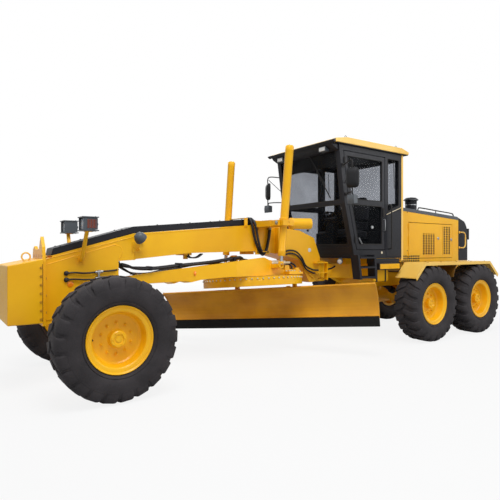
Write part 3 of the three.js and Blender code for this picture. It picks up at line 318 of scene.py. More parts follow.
# ---- mesh helpers ----
class Builder:
    """Collects solids in one mesh, in the scene's frame or in the frame of a matrix."""

    def __init__(self, matrix=None):
        self.bm = bmesh.new()
        self.matrix = matrix or Matrix.Identity(4)

    def _faces(self, points, faces):
        verts = [self.bm.verts.new(self.matrix @ Vector(p)) for p in points]
        for face in faces:
            self.bm.faces.new([verts[i] for i in face])

    def box(self, a, b):
        """A box between two opposite corners, given in any order."""
        (x0, x1), (y0, y1), (z0, z1) = (sorted(pair) for pair in zip(a, b))
        points = [
            (x, y, z) for z in (z0, z1) for x, y in ((x0, y0), (x1, y0), (x1, y1), (x0, y1))
        ]
        faces = [
            (3, 2, 1, 0), (4, 5, 6, 7), (0, 1, 5, 4), (1, 2, 6, 5), (2, 3, 7, 6), (3, 0, 4, 7),
        ]
        self._faces(points, faces)

    def box_ahead(self, a, b):
        """A box whose corners are given from the front axle."""
        self.box(*from_axle((a, b)))

    def prism(self, outline, a, b, axis="y"):
        """An outline of the two other axes, in order, extruded between a and b along an axis."""
        place = {
            "x": lambda u, v, w: (w, u, v),
            "y": lambda u, v, w: (u, w, v),
            "z": lambda u, v, w: (u, v, w),
        }[axis]
        n = len(outline)
        points = [place(u, v, w) for w in (a, b) for u, v in outline]
        faces = [tuple(range(n)), tuple(range(2 * n - 1, n - 1, -1))]
        faces += [(i, n + i, n + (i + 1) % n, (i + 1) % n) for i in range(n)]
        self._faces(points, faces)

    def lathe(self, profile, centre, axis, steps=48, closed=False):
        """A profile of (radius, distance along the axis) turned about the axis."""
        axis = Vector(axis).normalized()
        side = axis.orthogonal().normalized()
        other = axis.cross(side)
        rings = []
        for radius, along in profile:
            base = Vector(centre) + axis * along
            if radius < 1e-6:
                rings.append([self.bm.verts.new(self.matrix @ base)])
                continue
            ring = []
            for i in range(steps):
                a = 2 * math.pi * i / steps
                offset = side * math.cos(a) + other * math.sin(a)
                ring.append(self.bm.verts.new(self.matrix @ (base + offset * radius)))
            rings.append(ring)
        pairs = list(zip(rings, rings[1:]))
        if closed:
            pairs.append((rings[-1], rings[0]))
        for r0, r1 in pairs:
            for i in range(steps):
                j = (i + 1) % steps
                if len(r0) == 1 and len(r1) > 1:
                    self.bm.faces.new((r0[0], r1[i], r1[j]))
                elif len(r1) == 1 and len(r0) > 1:
                    self.bm.faces.new((r0[i], r1[0], r0[j]))
                elif len(r0) > 1:
                    self.bm.faces.new((r0[i], r1[i], r1[j], r0[j]))

    def rod(self, a, b, radius, steps=20, end=None):
        """A round bar with a small chamfer at each end."""
        a, b = Vector(a), Vector(b)
        length = (b - a).length
        end = radius if end is None else end
        c = min(radius, end, length / 2) * 0.12
        profile = [(0, 0), (radius - c, 0), (radius, c), (end, length - c), (end - c, length), (0, length)]
        self.lathe(profile, a, b - a, steps)

    def bolt(self, place, axis, radius=0.014, height=0.012):
        """A hexagon head on a washer."""
        washer = radius * 1.35
        self.lathe([(0, 0), (washer, 0), (washer, 0.003), (0, 0.003)], place, axis, 16)
        top = [(0, 0.003), (radius, 0.003), (radius, height * 0.8), (radius * 0.84, height), (0, height)]
        self.lathe(top, place, axis, 6)

    def cap(self, place, axis, radius, edge, top_radius, height, steps):
        """A round cap: straight up to the edge, then sloped in to its flat top."""
        self.lathe(
            [(0, 0), (radius, 0), (radius, edge), (top_radius, height), (0, height)], place, axis, steps,
        )

    def tube(self, points, radius, steps=10, smooth=8):
        """A tube along a smooth curve through the points."""
        path = smooth_path(points, smooth)
        rings = []
        normal = None
        for i, p in enumerate(path):
            ahead_of = path[min(i + 1, len(path) - 1)] - path[max(i - 1, 0)]
            tangent = ahead_of.normalized()
            if normal is None:
                normal = tangent.orthogonal().normalized()
            normal = (normal - tangent * normal.dot(tangent)).normalized()
            other = tangent.cross(normal)
            rings.append([
                self.bm.verts.new(
                    self.matrix
                    @ (p + (normal * math.cos(a) + other * math.sin(a)) * radius)
                )
                for a in (2 * math.pi * k / steps for k in range(steps))
            ])
        for r0, r1 in zip(rings, rings[1:]):
            for k in range(steps):
                j = (k + 1) % steps
                self.bm.faces.new((r0[k], r1[k], r1[j], r0[j]))
        self.bm.faces.new(rings[0][::-1])
        self.bm.faces.new(rings[-1])

    def piece(self, name, body, material, bevel=0.0, slot=None, smooth=32, segments=2):
        """Turns what was collected into an object that rides on a body."""
        bmesh.ops.recalc_face_normals(self.bm, faces=self.bm.faces)
        limit = math.radians(smooth)
        for edge in self.bm.edges:
            edge.smooth = edge.is_manifold and edge.calc_face_angle(0) < limit
        for face in self.bm.faces:
            face.smooth = True
        mesh = bpy.data.meshes.new(name)
        self.bm.to_mesh(mesh)
        self.bm.free()
        mesh.materials.append(material)
        obj = bpy.data.objects.new(name, mesh)
        bpy.context.scene.collection.objects.link(obj)
        if bevel:
            add_bevel(obj, bevel, segments)
        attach(obj, body)
        slot = slot or USUAL_SLOT[material.name]
        return obj


def around(centre, plane, radius, count, start=0.0):
    """Points evenly spaced on a circle in the plane that is named by its two axes."""
    first, second = ("xyz".index(letter) for letter in plane)
    for k in range(count):
        angle = math.tau * (k + start) / count
        point = list(centre)
        point[first] += radius * math.cos(angle)
        point[second] += radius * math.sin(angle)
        yield tuple(point)


def upright_loop(foot, radius, height, count):
    """The points of an upright ring whose middle stands that high over its foot."""
    angles = (math.tau * k / count for k in range(count))
    return [foot + Vector((radius * math.cos(a), 0, height + radius * math.sin(a))) for a in angles]


def smooth_path(points, per_span):
    """Points along a Catmull-Rom curve through the given points."""
    points = [Vector(p) for p in points]
    if len(points) == 2 or per_span <= 1:
        return points
    ends = [points[0] * 2 - points[1], *points, points[-1] * 2 - points[-2]]
    path = []
    for i in range(1, len(ends) - 2):
        p0, p1, p2, p3 = ends[i - 1:i + 3]
        for k in range(per_span):
            t = k / per_span
            path.append(
                0.5 * (
                    2 * p1 + (p2 - p0) * t
                    + (2 * p0 - 5 * p1 + 4 * p2 - p3) * t * t
                    + (3 * p1 - p0 - 3 * p2 + p3) * t ** 3
                )
            )
    path.append(points[-1])
    return path


def add_bevel(obj, width, segments=2, angle=32):
    """Softens the edges that are sharper than an angle."""
    bevel = obj.modifiers.new("edges", "BEVEL")
    bevel.width = width
    bevel.segments = segments
    bevel.limit_method = "ANGLE"
    bevel.angle_limit = math.radians(angle)
    bevel.harden_normals = True
    return bevel


def finish_node(name, material, width=0.006, angle=40):
    """Gives a CAD node its material and soft edges."""
    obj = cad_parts[name]
    obj.data.materials.clear()
    obj.data.materials.append(material)
    weld = obj.modifiers.new("weld", "WELD")
    weld.merge_threshold = 0.0001
    flat = obj.modifiers.new("flat", "DECIMATE")
    flat.decimate_type = "DISSOLVE"
    flat.angle_limit = 0.02
    if width:
        add_bevel(obj, width, 2, angle)
    return obj


# ---- wheels ----
WHEELS = [
    (place, side_name, side)
    for place in ("front", "middle", "rear")
    for side_name, side in SIDES
]
LUGS = 22


def tyre_profile(radius, half, bead, lip, depth):
    """(radius, distance outboard) of the carcass from bead to bead."""
    side = [
        (lip - 0.006, bead - 0.004), (lip + 0.004, bead + 0.012), (lip + 0.020, bead + 0.030),
        (lip + 0.034, bead + 0.042), (lip + 0.040, bead + 0.036), (lip + 0.052, bead + 0.048),
        (radius - 0.200, half - 0.004), (radius - 0.165, half), (radius - 0.125, half - 0.003),
        (radius - 0.088, half - 0.013), (radius - 0.062, half - 0.026), (radius - 0.042, half - 0.046),
        (radius - depth - 0.002, half - 0.078), (radius - depth, half - 0.130), (radius - depth, 0),
    ]
    other = [(r, -y) for r, y in reversed(side[:-1])]
    return side + other


def lug_stations(radius, half, wide):
    """Along a lug from the middle over the shoulder: (outboard, top, base, lag, half width)."""
    return [
        (0.004, radius - 0.001, radius - 0.055, 0.000, wide * 0.62),
        (0.050, radius, radius - 0.055, 0.020, wide * 0.72),
        (0.105, radius, radius - 0.055, 0.044, wide * 0.86),
        (half - 0.072, radius - 0.004, radius - 0.060, 0.062, wide * 0.96),
        (half - 0.044, radius - 0.013, radius - 0.070, 0.070, wide),
        (half - 0.022, radius - 0.029, radius - 0.080, 0.074, wide),
        (half - 0.007, radius - 0.054, radius - 0.095, 0.077, wide * 0.96),
        (half + 0.0002, radius - 0.088, radius - 0.115, 0.078, wide * 0.86),
        (half - 0.003, radius - 0.122, radius - 0.140, 0.078, wide * 0.70),
    ]


def make_tyre(place, side_name, side):
    """Carcass and lugs, in place of the plain CAD tyre."""
    node = f"tyre_{place}_{side_name}"
    centre = middle(node)
    size = high(node) - low(node)
    radius, half = size.z / 2, size.y / 2
    lip = (high(f"rim_{place}_{side_name}").z - low(f"rim_{place}_{side_name}").z) / 2
    build = Builder()
    axis = (0, side, 0)
    depth, wide = (0.018, 0.064) if place == "front" else (0.030, 0.052)
    build.lathe(tyre_profile(radius, half, 0.160, lip, depth), centre, axis, 96)
    turn = math.tau / LUGS
    for way in (1, -1):
        for i in range(LUGS):
            start = turn * (i + (0.5 if way < 0 else 0))
            add_lug(build, centre, start, way, lug_stations(radius, half, wide))
    obj = build.piece(f"tread_{place}_{side_name}", f"wheel_{place}_{side_name}", RUBBER, smooth=38)
    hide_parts(node)


def add_lug(build, centre, start, way, stations):
    """One lug, from the middle of the tread over the shoulder, on the side that way names."""
    rings = []
    for out, top, base, lag, half_width in stations:
        ring = []
        for r, spread in (
            (base, 1.3), (top - 0.005, 1.05), (top, 0.88), (top, -0.88), (top - 0.005, -1.05), (base, -1.3),
        ):
            angle = start + (lag + spread * half_width) / TYRE_RADIUS
            offset = Vector((math.sin(angle) * r, way * out, math.cos(angle) * r))
            ring.append(build.bm.verts.new(centre + offset))
        rings.append(ring)
    for r0, r1 in zip(rings, rings[1:]):
        for k in range(6):
            j = (k + 1) % 6
            build.bm.faces.new((r0[k], r1[k], r1[j], r0[j]))
    build.bm.faces.new(rings[0])
    build.bm.faces.new(rings[-1][::-1])


def make_rim(place, side_name, side):
    """Dished rim with studs, hub cap and valve, in place of the plain CAD rim."""
    node = f"rim_{place}_{side_name}"
    centre = middle(f"tyre_{place}_{side_name}")
    flange = (high(node).z - low(node).z) / 2
    axis = (0, side, 0)
    build = Builder()
    profile = [
        (0, 0.115), (0.030, 0.115), (0.034, 0.108), (0.050, 0.108), (0.056, 0.118), (0.080, 0.118),
        (0.090, 0.110), (0.092, 0.046), (0.104, 0.034), (0.128, 0.032), (0.215, 0.032), (0.236, 0.030),
        (0.258, 0.034), (0.276, 0.050), (0.290, 0.090), (0.292, 0.128), (0.296, 0.150), (0.303, 0.158),
        (0.312, 0.163), (0.345, 0.168), (0.352, 0.178), (0.362, 0.184), (flange - 0.001, 0.180),
        (flange, 0.170), (flange - 0.004, 0.162), (flange - 0.016, 0.155), (flange - 0.016, -0.158),
        (0.305, -0.158), (0.300, 0.018), (0.120, 0.018), (0.100, 0.018), (0, 0.018),
    ]
    build.lathe(profile, centre, axis, 72)
    for i in range(10):
        angle = math.tau * (i + 0.5) / 10
        spot = centre + Vector((math.cos(angle) * 0.170, side * 0.032, math.sin(angle) * 0.170))
        build.lathe([(0, 0), (0.021, 0), (0.020, 0.006), (0.0, 0.006)], spot, axis, 14)
        build.lathe(
            [(0, 0.006), (0.0145, 0.006), (0.0145, 0.018), (0.011, 0.022), (0, 0.022)], spot, axis, 6,
        )
        build.lathe([(0, 0.02), (0.008, 0.02), (0.007, 0.034), (0, 0.034)], spot, axis, 10)
    for i in range(6):
        angle = math.tau * i / 6
        spot = centre + Vector((math.cos(angle) * 0.068, side * 0.118, math.sin(angle) * 0.068))
        build.bolt(spot, axis, 0.008, 0.008)
    obj = build.piece(f"rim_detail_{place}_{side_name}", f"wheel_{place}_{side_name}", YELLOW, smooth=28)
    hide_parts(node)
    valve = Builder()
    spot = centre + Vector((0.27, side * 0.085, 0.02))
    valve.rod(spot, spot + Vector((0.012, side * 0.045, 0)), 0.006, 10)
    valve.rod(spot + Vector((0.012, side * 0.045, 0)), spot + Vector((0.014, side * 0.06, 0)), 0.008, 10)
    valve.piece(f"valve_{place}_{side_name}", f"wheel_{place}_{side_name}", TRIM)


for wheel in WHEELS:
    make_tyre(*wheel)
    make_rim(*wheel)


# ---- carried-over CAD nodes ----
KEPT = {
    "rear_frame": (YELLOW, 0.006), "rear_axle": (YELLOW, 0.006), "cab_shell": (BLACK, 0.006),
    # cab_roof takes the lighter yellow, a painted highlight
    "cab_roof": (LIT_YELLOW, 0.012), "hood_shell": (YELLOW, 0.01),
    "engine_block": (IRON, 0.006), "main_beam": (YELLOW, 0.006), "beam_cover": (BLACK, 0.005),
    "front_weight": (YELLOW, 0.012), "lift_saddle": (YELLOW, 0.004), "axle_beam": (YELLOW, 0.008),
    "lean_bar": (YELLOW, 0.004), "tie_rod_end": (STEEL, 0.002), "tie_rod": (STEEL, 0.003),
    "drawbar_ball": (STEEL, 0), "drawbar": (YELLOW, 0.006), "blade_carrier": (YELLOW, 0.004),
}
for side_name, side in SIDES:
    KEPT[f"lean_bracket_{side_name}"] = (YELLOW, 0.004)
    KEPT[f"knuckle_{side_name}"] = (YELLOW, 0.004)
    KEPT[f"tandem_box_{side_name}"] = (YELLOW, 0.008)
    # the fenders take the lighter yellow, a painted highlight
    KEPT[f"fender_{side_name}"] = (LIT_YELLOW, 0.004)
    KEPT[f"lift_yoke_{side_name}"] = (YELLOW, 0.004)
    KEPT[f"door_{side_name}"] = (BLACK, 0.006)
    KEPT[f"engine_door_{side_name}"] = (YELLOW, 0.004)
    KEPT[f"step_{side_name}"] = (BLACK, 0.004)
KEPT["moldboard"] = (BLADE_YELLOW, 0.002)
KEPT["circle"] = (YELLOW, 0.004)
for node, (material, width) in KEPT.items():
    finish_node(node, material, width)


# ---- front frame details ----
def along_line(corners, distance):
    """Height at that distance on a line of (distance, height) corners, listed from the front back."""
    for (x0, z0), (x1, z1) in zip(corners, corners[1:]):
        if distance >= x1:
            return z0 + (z1 - z0) * (distance - x0) / (x1 - x0)
    return corners[-1][1]


def beam_top(distance):
    """Height of the beam's top edge that many metres ahead of the axle."""
    return along_line([(0.56, 1.56), (-0.55, 1.85), (-2.135, 2.0), (-2.8, 2.05)], distance)


def cover_top(distance):
    """Height of the top of the beam's cover that many metres ahead of the axle."""
    return along_line([(0.45, 1.652), (-0.55, 1.942), (-2.135, 2.092), (-2.498, 2.12)], distance)


def make_headlamp(side_name, side):
    """Lamp housing with its lenses and the bent post that carries it."""
    node = f"headlamp_{side_name}"
    a, b = low(node), high(node)
    x0, x1 = b.x - 0.18, b.x
    outer = max(abs(a.y), abs(b.y))
    y0, y1 = sorted((side * (outer - 0.21), side * outer))
    z0, z1 = b.z - 0.17, b.z
    shell = Builder()
    shell.prism(
        [(x0, z0 + 0.018), (x1 - 0.05, z0 + 0.010), (x1 - 0.05, z1 - 0.010), (x0, z1 - 0.018)],
        y0 + 0.006, y1 - 0.006,
    )
    shell.box((x0 - 0.012, y0 - 0.004, z1 - 0.012), (x1, y1 + 0.004, z1))
    shell.box((x0 - 0.012, y0 - 0.004, z0), (x1, y1 + 0.004, z0 + 0.012))
    for y in (y0 + 0.004, y1 - 0.012):
        shell.box((x1 - 0.055, y, z0 + 0.008), (x1 - 0.012, y + 0.008, z1 - 0.008))
    face = side * (outer - 0.001)
    for i in range(4):
        x = x0 + 0.022 + i * 0.034
        shell.box((x, face, z0 + 0.03), (x + 0.006, face - side * 0.012, z1 - 0.03))
    for y in (y0 + 0.03, y1 - 0.03):
        for z, way in ((z1, 1), (z0, -1)):
            shell.bolt((x0 + 0.02, y, z), (0, 0, way), 0.006, 0.006)
    shell.rod(
        (x0 - 0.03, (y0 + y1) / 2, (z0 + z1) / 2), (x0 + 0.01, (y0 + y1) / 2, (z0 + z1) / 2), 0.018, 16,
    )
    housing = shell.piece(
        f"headlamp_housing_{side_name}", "front_frame", LAMP_GREY, 0.003, slot="dark_paint",
    )
    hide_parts(node)
    lens = Builder()
    lens.prism([
        (x1 - 0.052, z0 + 0.016), (x1 - 0.036, z0 + 0.020), (x1 - 0.030, (z0 + z1) / 2),
        (x1 - 0.036, z1 - 0.020), (x1 - 0.052, z1 - 0.016),
    ], y0 + 0.016, y1 - 0.016)
    lens.piece(f"headlamp_lens_{side_name}", "front_frame", LAMP, 0.004)
    marker = Builder()
    marker.box((x0 + 0.014, face - side * 0.010, z0 + 0.032), (x0 + 0.124, face - side * 0.003, z1 - 0.032))
    marker.piece(f"turn_lens_{side_name}", "front_frame", RED_BROWN, 0.004)
    post = Builder()
    post.tube(from_axle([
        (0.14, side * 0.206, 1.50), (0.14, side * 0.27, 1.515), (0.139, side * 0.31, 1.57),
        (0.133, side * 0.39, 1.74), (0.128, side * 0.45, z0 + 0.004),
    ]), 0.024, 16)
    post.box_ahead((0.09, side * BEAM_HALF, 1.45), (0.19, side * 0.212, 1.55))
    for dx in (0.105, 0.175):
        for z in (1.465, 1.535):
            post.bolt((ahead(dx), side * 0.212, z), (0, side, 0), 0.009, 0.008)
    post.box((x0 + 0.05, side * 0.45 - 0.03, z0 - 0.008), (x0 + 0.13, side * 0.45 + 0.03, z0))
    post.piece(f"headlamp_post_{side_name}", "front_frame", YELLOW, smooth=40)


def make_work_lamp_head(centre, aim):
    shell = Builder()
    shell.lathe([
        (0, -0.075), (0.03, -0.072), (0.058, -0.052), (0.074, -0.02), (0.08, 0.012), (0.082, 0.03),
        (0.078, 0.034), (0, 0.034),
    ], centre, aim, 40)
    shell.piece("work_lamp", "front_frame", LAMP_GREY, smooth=50)


def make_work_lamp_lens(centre, aim):
    lens = Builder()
    lens.lathe([(0, 0.040), (0.04, 0.038), (0.07, 0.032), (0, 0.030)], centre, aim, 32)
    lens.piece("work_lamp_lens", "front_frame", LAMP, smooth=50)


def make_work_lamp_bracket():
    bracket = Builder()
    bracket.box_ahead((-0.66, 0.200, 1.60), (-0.52, 0.208, 1.74))
    bracket.prism(
        [(0.205, 1.63), (0.33, 1.63), (0.33, 1.72), (0.318, 1.72), (0.318, 1.642), (0.205, 1.642)],
        ahead(-0.62), ahead(-0.57), "x",
    )
    for dx in (-0.64, -0.54):
        bracket.bolt((ahead(dx), 0.208, 1.67), (0, 1, 0), 0.009, 0.008)
    bracket.piece("work_lamp_bracket", "front_frame", YELLOW, 0.002)


def make_work_lamp():
    centre = Vector((ahead(-0.58), 0.325, 1.79))
    aim = Vector((-0.72, -0.35, -0.6)).normalized()
    make_work_lamp_head(centre, aim)
    make_work_lamp_lens(centre, aim)
    make_work_lamp_bracket()


def make_beam_doubler():
    """Doubler plates with their weld beads, and the seam and bolts of the front weight; the seam is a strip
    of painted shade.
    """
    plates = Builder()
    outline = from_axle([
        (0.545, 0.80), (0.545, 1.452), (-0.215, 1.678), (-0.30, 1.690), (-0.355, 1.672), (-0.382, 1.632),
        (-0.37, 1.575), (-0.336, 1.50), (-0.336, 1.00), (-0.16, 1.00), (-0.16, 0.80),
    ])
    for side in (1, -1):
        plates.prism(outline, side * 0.199, side * 0.208)
    plates.piece("beam_doubler", "front_frame", YELLOW, 0.003)
    beads = Builder()
    for side in (1, -1):
        beads.tube([(x, side * 0.2045, z) for x, z in outline[1:8]], 0.006, 8, 6)
        edge = [(ahead(d), side * BEAM_HALF, beam_top(d) - 0.045) for d in (0.53, 0.2, -0.2, -0.54)]
        beads.tube(edge, 0.005, 8, 2)
        edge = [(ahead(d), side * BEAM_HALF, beam_top(d) - 0.02) for d in (-0.58, -1.3, -2.1)]
        beads.tube(edge, 0.004, 8, 2)
        beads.tube([(ahead(-0.56), side * 0.201, 1.50), (ahead(-0.56), side * 0.201, 1.82)], 0.005, 8, 2)
        beads.tube([(ahead(-2.92), side * 0.302, 1.60), (ahead(-2.94), side * 0.302, 1.96)], 0.005, 8, 2)
    beads.piece("beam_welds", "front_frame", YELLOW, smooth=60)
    rear_of_weight = low("front_weight").x
    # a thin strip in the darker shaded yellow over the gap behind the front weight: painted shade
    groove = Builder()
    for side in (1, -1):
        groove.box(
            (rear_of_weight + 0.006, side * 0.3702, 0.81), (rear_of_weight + 0.012, side * 0.3722, 1.47),
        )
    groove.piece("front_weight_seam_shade", "front_frame", SHADED_YELLOW)
    bolts = Builder()
    for side in (1, -1):
        for i in range(7):
            z = 0.84 + i * 0.098
            bolts.bolt((rear_of_weight + 0.026, side * 0.3700, z), (0, side, 0), 0.012, 0.012)
        for i in range(3):
            bolts.bolt((rear_of_weight, side * (0.06 + 0.1 * i), 1.56), (-1, 0, 0), 0.014, 0.014)
    for side in (1, -1):
        bolts.bolt((ahead(0.548), side * 0.255, 1.55), (-1, 0, 0), 0.016, 0.016)
        for z in (0.9, 1.1, 1.3):
            bolts.bolt((ahead(0.555), side * 0.26, z), (-1, 0, 0), 0.016, 0.016)
    bolts.piece("front_weight_bolts", "front_frame", BRASS, smooth=25)


def make_lifting_ring():
    ring = Builder()
    top = high("front_weight").z - 0.074 * 0.141 / 0.37
    foot = Vector((ahead(0.733), 0.10, top))
    ring_tube(ring, upright_loop(foot, 0.046, 0.050, 24), 0.0095)
    ring.lathe(
        [(0, -0.01), (0.032, -0.01), (0.032, 0.006), (0.018, 0.012), (0, 0.012)], foot, (0.0, 0, 1), 20,
    )
    # the lighter yellow on the lifting ring is a painted highlight
    ring.piece("lifting_ring", "front_frame", LIT_YELLOW, smooth=60)


def make_cover_bolts():
    cover = Builder()
    for d in (0.36, 0.05, -0.40, -0.9, -1.4, -1.9, -2.3):
        for side in (1, -1):
            cover.bolt((ahead(d), side * 0.14, cover_top(d)), (0, 0, 1), 0.009, 0.007)
    cover.piece("cover_bolts", "front_frame", BLACK, smooth=25)


def make_beam_reflectors():
    reflector = Builder()
    for side in (1, -1):
        reflector.cap((ahead(0.26), side * 0.208, 1.215), (0, side, 0), 0.036, 0.006, 0.028, 0.010, 28)
    reflector.piece("beam_reflectors", "front_frame", ORANGE, smooth=50)


def make_gooseneck_plates():
    blank = Builder()
    for side in (1, -1):
        blank.lathe(
            [(0, 0), (0.034, 0), (0.034, 0.003), (0, 0.004)], (ahead(-3.561), side * 0.3003, 1.631),
            (0, side, 0), 24,
        )
    blank.piece("gooseneck_plates", "front_frame", PALE, smooth=40)


def make_beam_trim():
    """Doubler plates, weld beads, bolts, lifting ring and small fittings on beam and front weight."""
    make_beam_doubler()
    make_lifting_ring()
    make_cover_bolts()
    make_beam_reflectors()
    make_gooseneck_plates()


def ring_tube(build, loop, radius, steps=10):
    """A closed tube through a loop of points that lie in one plane."""
    centre = sum(loop, Vector()) / len(loop)
    normal = (loop[0] - centre).cross(loop[1] - centre).normalized()
    rings = []
    for p in loop:
        out = (p - centre).normalized()
        rings.append([
            build.bm.verts.new(build.matrix @ (p + (out * math.cos(a) + normal * math.sin(a)) * radius))
            for a in (math.tau * k / steps for k in range(steps))
        ])
    for r0, r1 in zip(rings, rings[1:] + rings[:1]):
        for k in range(steps):
            j = (k + 1) % steps
            build.bm.faces.new((r0[k], r1[k], r1[j], r0[j]))


def make_weight_hoses():
    """Two hoses that run back from the front weight."""
    hoses = Builder()
    for z, drop in ((1.35, 0.0), (1.27, 0.012)):
        hoses.tube(from_axle([
            (0.308, 0.215, z), (0.22, 0.232, z + 0.006), (0.08, 0.238, z - 0.004),
            (-0.10, 0.232, z + 0.010 - drop), (-0.26, 0.225, z + 0.02), (-0.34, 0.19, z + 0.03),
        ]), 0.011, 10)
        hoses.lathe(
            [(0, 0), (0.026, 0.004), (0.03, 0.02), (0.024, 0.034), (0, 0.038)], (ahead(0.308), 0.198, z),
            (0, 1, 0), 20,
        )
    hoses.piece("front_hoses", "front_frame", HOSE, smooth=60)


def make_front_hose_fittings():
    fittings = Builder()
    for z in (1.362, 1.284):
        fittings.rod((ahead(-0.13), 0.231, z), (ahead(-0.03), 0.236, z - 0.008), 0.017, 14)
        fittings.rod((ahead(-0.10), 0.231, z), (ahead(-0.06), 0.234, z - 0.004), 0.022, 6)
    fittings.box_ahead((-0.09, 0.20, 1.268), (-0.07, 0.226, 1.378))
    fittings.piece("front_hose_fittings", "front_frame", STEEL, smooth=30)


def make_drawbar_hoses():
    bundle = Builder()
    for i in range(5):
        y = 0.02 + 0.035 * i
        lift = 0.012 * (i % 3)
        bundle.tube(from_axle([
            (-0.400, y, 1.452 - lift), (-0.48, y + 0.01, 1.43 - lift), (-0.62, y + 0.04, 1.375 + lift),
            (-0.86, y + 0.08, 1.372 + lift), (-1.15, y * 0.8 + 0.16, 1.402 + lift),
            (-1.6, y * 0.6 + 0.26, 1.44 + lift), (-2.0, y * 0.5 + 0.28, 1.49 + lift),
            (-2.2, y * 0.5 + 0.22, 1.50 + lift), (-2.26, y * 0.5 + 0.12, 1.44),
        ]), 0.0125, 10)
    for i in range(3):
        y = -0.03 - 0.035 * i
        bundle.tube(from_axle([
            (-0.400, y, 1.44), (-0.5, y, 1.37), (-0.66, y * 1.6, 1.29 + 0.01 * i), (-0.9, y * 2, 1.30),
            (-1.2, y * 2.5 - 0.05, 1.34), (-1.7, y * 2 - 0.2, 1.40), (-2.1, y * 1.5 - 0.15, 1.42),
            (-2.24, -0.08, 1.40),
        ]), 0.0125, 10)
    bundle.piece("drawbar_hoses", "drawbar_frame", HOSE, smooth=60)


def make_hose_bulkhead():
    bulkhead = Builder()
    bulkhead.box_ahead((-0.360, -0.13, 1.405), (-0.341, 0.19, 1.485))
    for i in range(5):
        bulkhead.bolt((ahead(-0.360), -0.10 + 0.065 * i, 1.475), (-1, 0, 0), 0.008, 0.006)
    bulkhead.piece("hose_bulkhead", "front_frame", BLACK, 0.002)


def make_hose_clamps():
    clamps = Builder()
    clamps.box_ahead((-1.20, 0.17, 1.36), (-1.14, 0.31, 1.378))
    clamps.box_ahead((-1.19, 0.165, 1.385), (-1.15, 0.325, 1.452))
    clamps.box_ahead((-0.79, 0.09, 1.355), (-0.75, 0.24, 1.412))
    clamps.box_ahead((-2.03, 0.27, 1.46), (-1.99, 0.40, 1.53))
    clamps.piece("hose_clamps", "drawbar_frame", BLACK, 0.004, slot="black_plastic")


def make_front_hoses():
    make_weight_hoses()
    make_front_hose_fittings()
    make_drawbar_hoses()
    make_hose_bulkhead()
    make_hose_clamps()


def make_hitch_plates():
    plates = Builder()
    for side in (1, -1):
        inner, outer = side * 0.305, side * 0.385
        for z in (1.235, 1.405):
            plates.box_ahead((-3.90, inner, z), (-3.64, outer, z + 0.016))
        plates.box_ahead((-3.912, inner, 1.12), (-3.898, outer, 1.43))
        plates.prism(
            from_axle([(-3.64, 1.235), (-3.52, 1.235), (-3.64, 1.15)]), side * 0.302, side * 0.318,
        )
    plates.piece("hitch_brackets", "front_frame", YELLOW, 0.003)


def make_hitch_bolts():
    bolts = Builder()
    for d in (-3.84, -3.76, -3.69):
        bolts.bolt((ahead(d), 0.355, 1.251), (0, 0, 1), 0.013, 0.013)
        bolts.bolt((ahead(d), 0.355, 1.421), (0, 0, 1), 0.013, 0.013)
    bolts.piece("hitch_bolts", "front_frame", BRASS, smooth=25)


def make_hitch_hoses():
    hose = Builder()
    for i in range(2):
        drop = 0.05 * i
        hose.tube(from_axle([
            (-3.00, 0.318, 1.60 - drop), (-3.10, 0.335, 1.625 - drop), (-3.24, 0.340, 1.60 - drop),
            (-3.36, 0.338, 1.50 - drop), (-3.45, 0.335, 1.37 - drop), (-3.60, 0.340, 1.30 - drop),
            (-3.72, 0.345, 1.29 - drop),
        ]), 0.014, 10)
    hose.piece("hitch_hoses", "front_frame", HOSE, smooth=60)


def make_hitch_brackets():
    """Shelves and a cheek plate beside the front half of the articulation, with a hose over them."""
    make_hitch_plates()
    make_hitch_bolts()
    make_hitch_hoses()


def make_hanging_hoses():
    """Two hoses that hang beside the beam in front of the lift saddle."""
    hoses = Builder()
    for i, y in enumerate((0.236, 0.272)):
        d = 0.036 * i
        hoses.tube(from_axle([
            (-2.40 - d, 0.10, 2.118), (-2.41 - d, 0.19, 2.115), (-2.425 - d, y, 2.03),
            (-2.46 - d, y + 0.006, 1.86), (-2.53 - d * 0.6, y + 0.01, 1.66),
            (-2.62, y + 0.012, 1.556 + 0.03 * i), (-2.69 + d * 0.4, y + 0.01, 1.64),
            (-2.735 + d * 0.4, y + 0.012, 1.82), (-2.75 + d * 0.4, y + 0.02, 1.97),
        ]), 0.0185, 12)
    hoses.piece("beam_loops", "front_frame", HOSE, smooth=60)


def make_hose_strap():
    strap = Builder()
    strap.box_ahead((-2.36, -0.215, 2.118), (-2.30, 0.215, 2.126))
    for side in (1, -1):
        y = side * BEAM_HALF
        strap.box_ahead((-2.36, y, 1.99), (-2.30, y + side * 0.012, 2.126))
        strap.bolt((ahead(-2.33), side * 0.212, 2.01), (0, side, 0), 0.011, 0.010)
    strap.box_ahead((-2.66, 0.2, 1.60), (-2.58, 0.31, 1.612))
    strap.piece("hose_strap", "front_frame", YELLOW, 0.003)


def make_loop_fittings():
    ends = Builder()
    for i in range(2):
        x, y = ahead(-2.75 + 0.0144 * i), 0.256 + 0.036 * i
        ends.rod((x, y, 1.95), (x, y, 2.02), 0.024, 6)
    ends.piece("loop_fittings", "front_frame", STEEL, smooth=30)


def make_underbeam_bracket():
    under = Builder()
    under.box_ahead((-1.42, -0.12, 1.555), (-1.30, 0.16, 1.592))
    under.box_ahead((-1.39, 0.06, 1.50), (-1.33, 0.10, 1.56))
    under.piece("underbeam_bracket", "front_frame", YELLOW, 0.003)


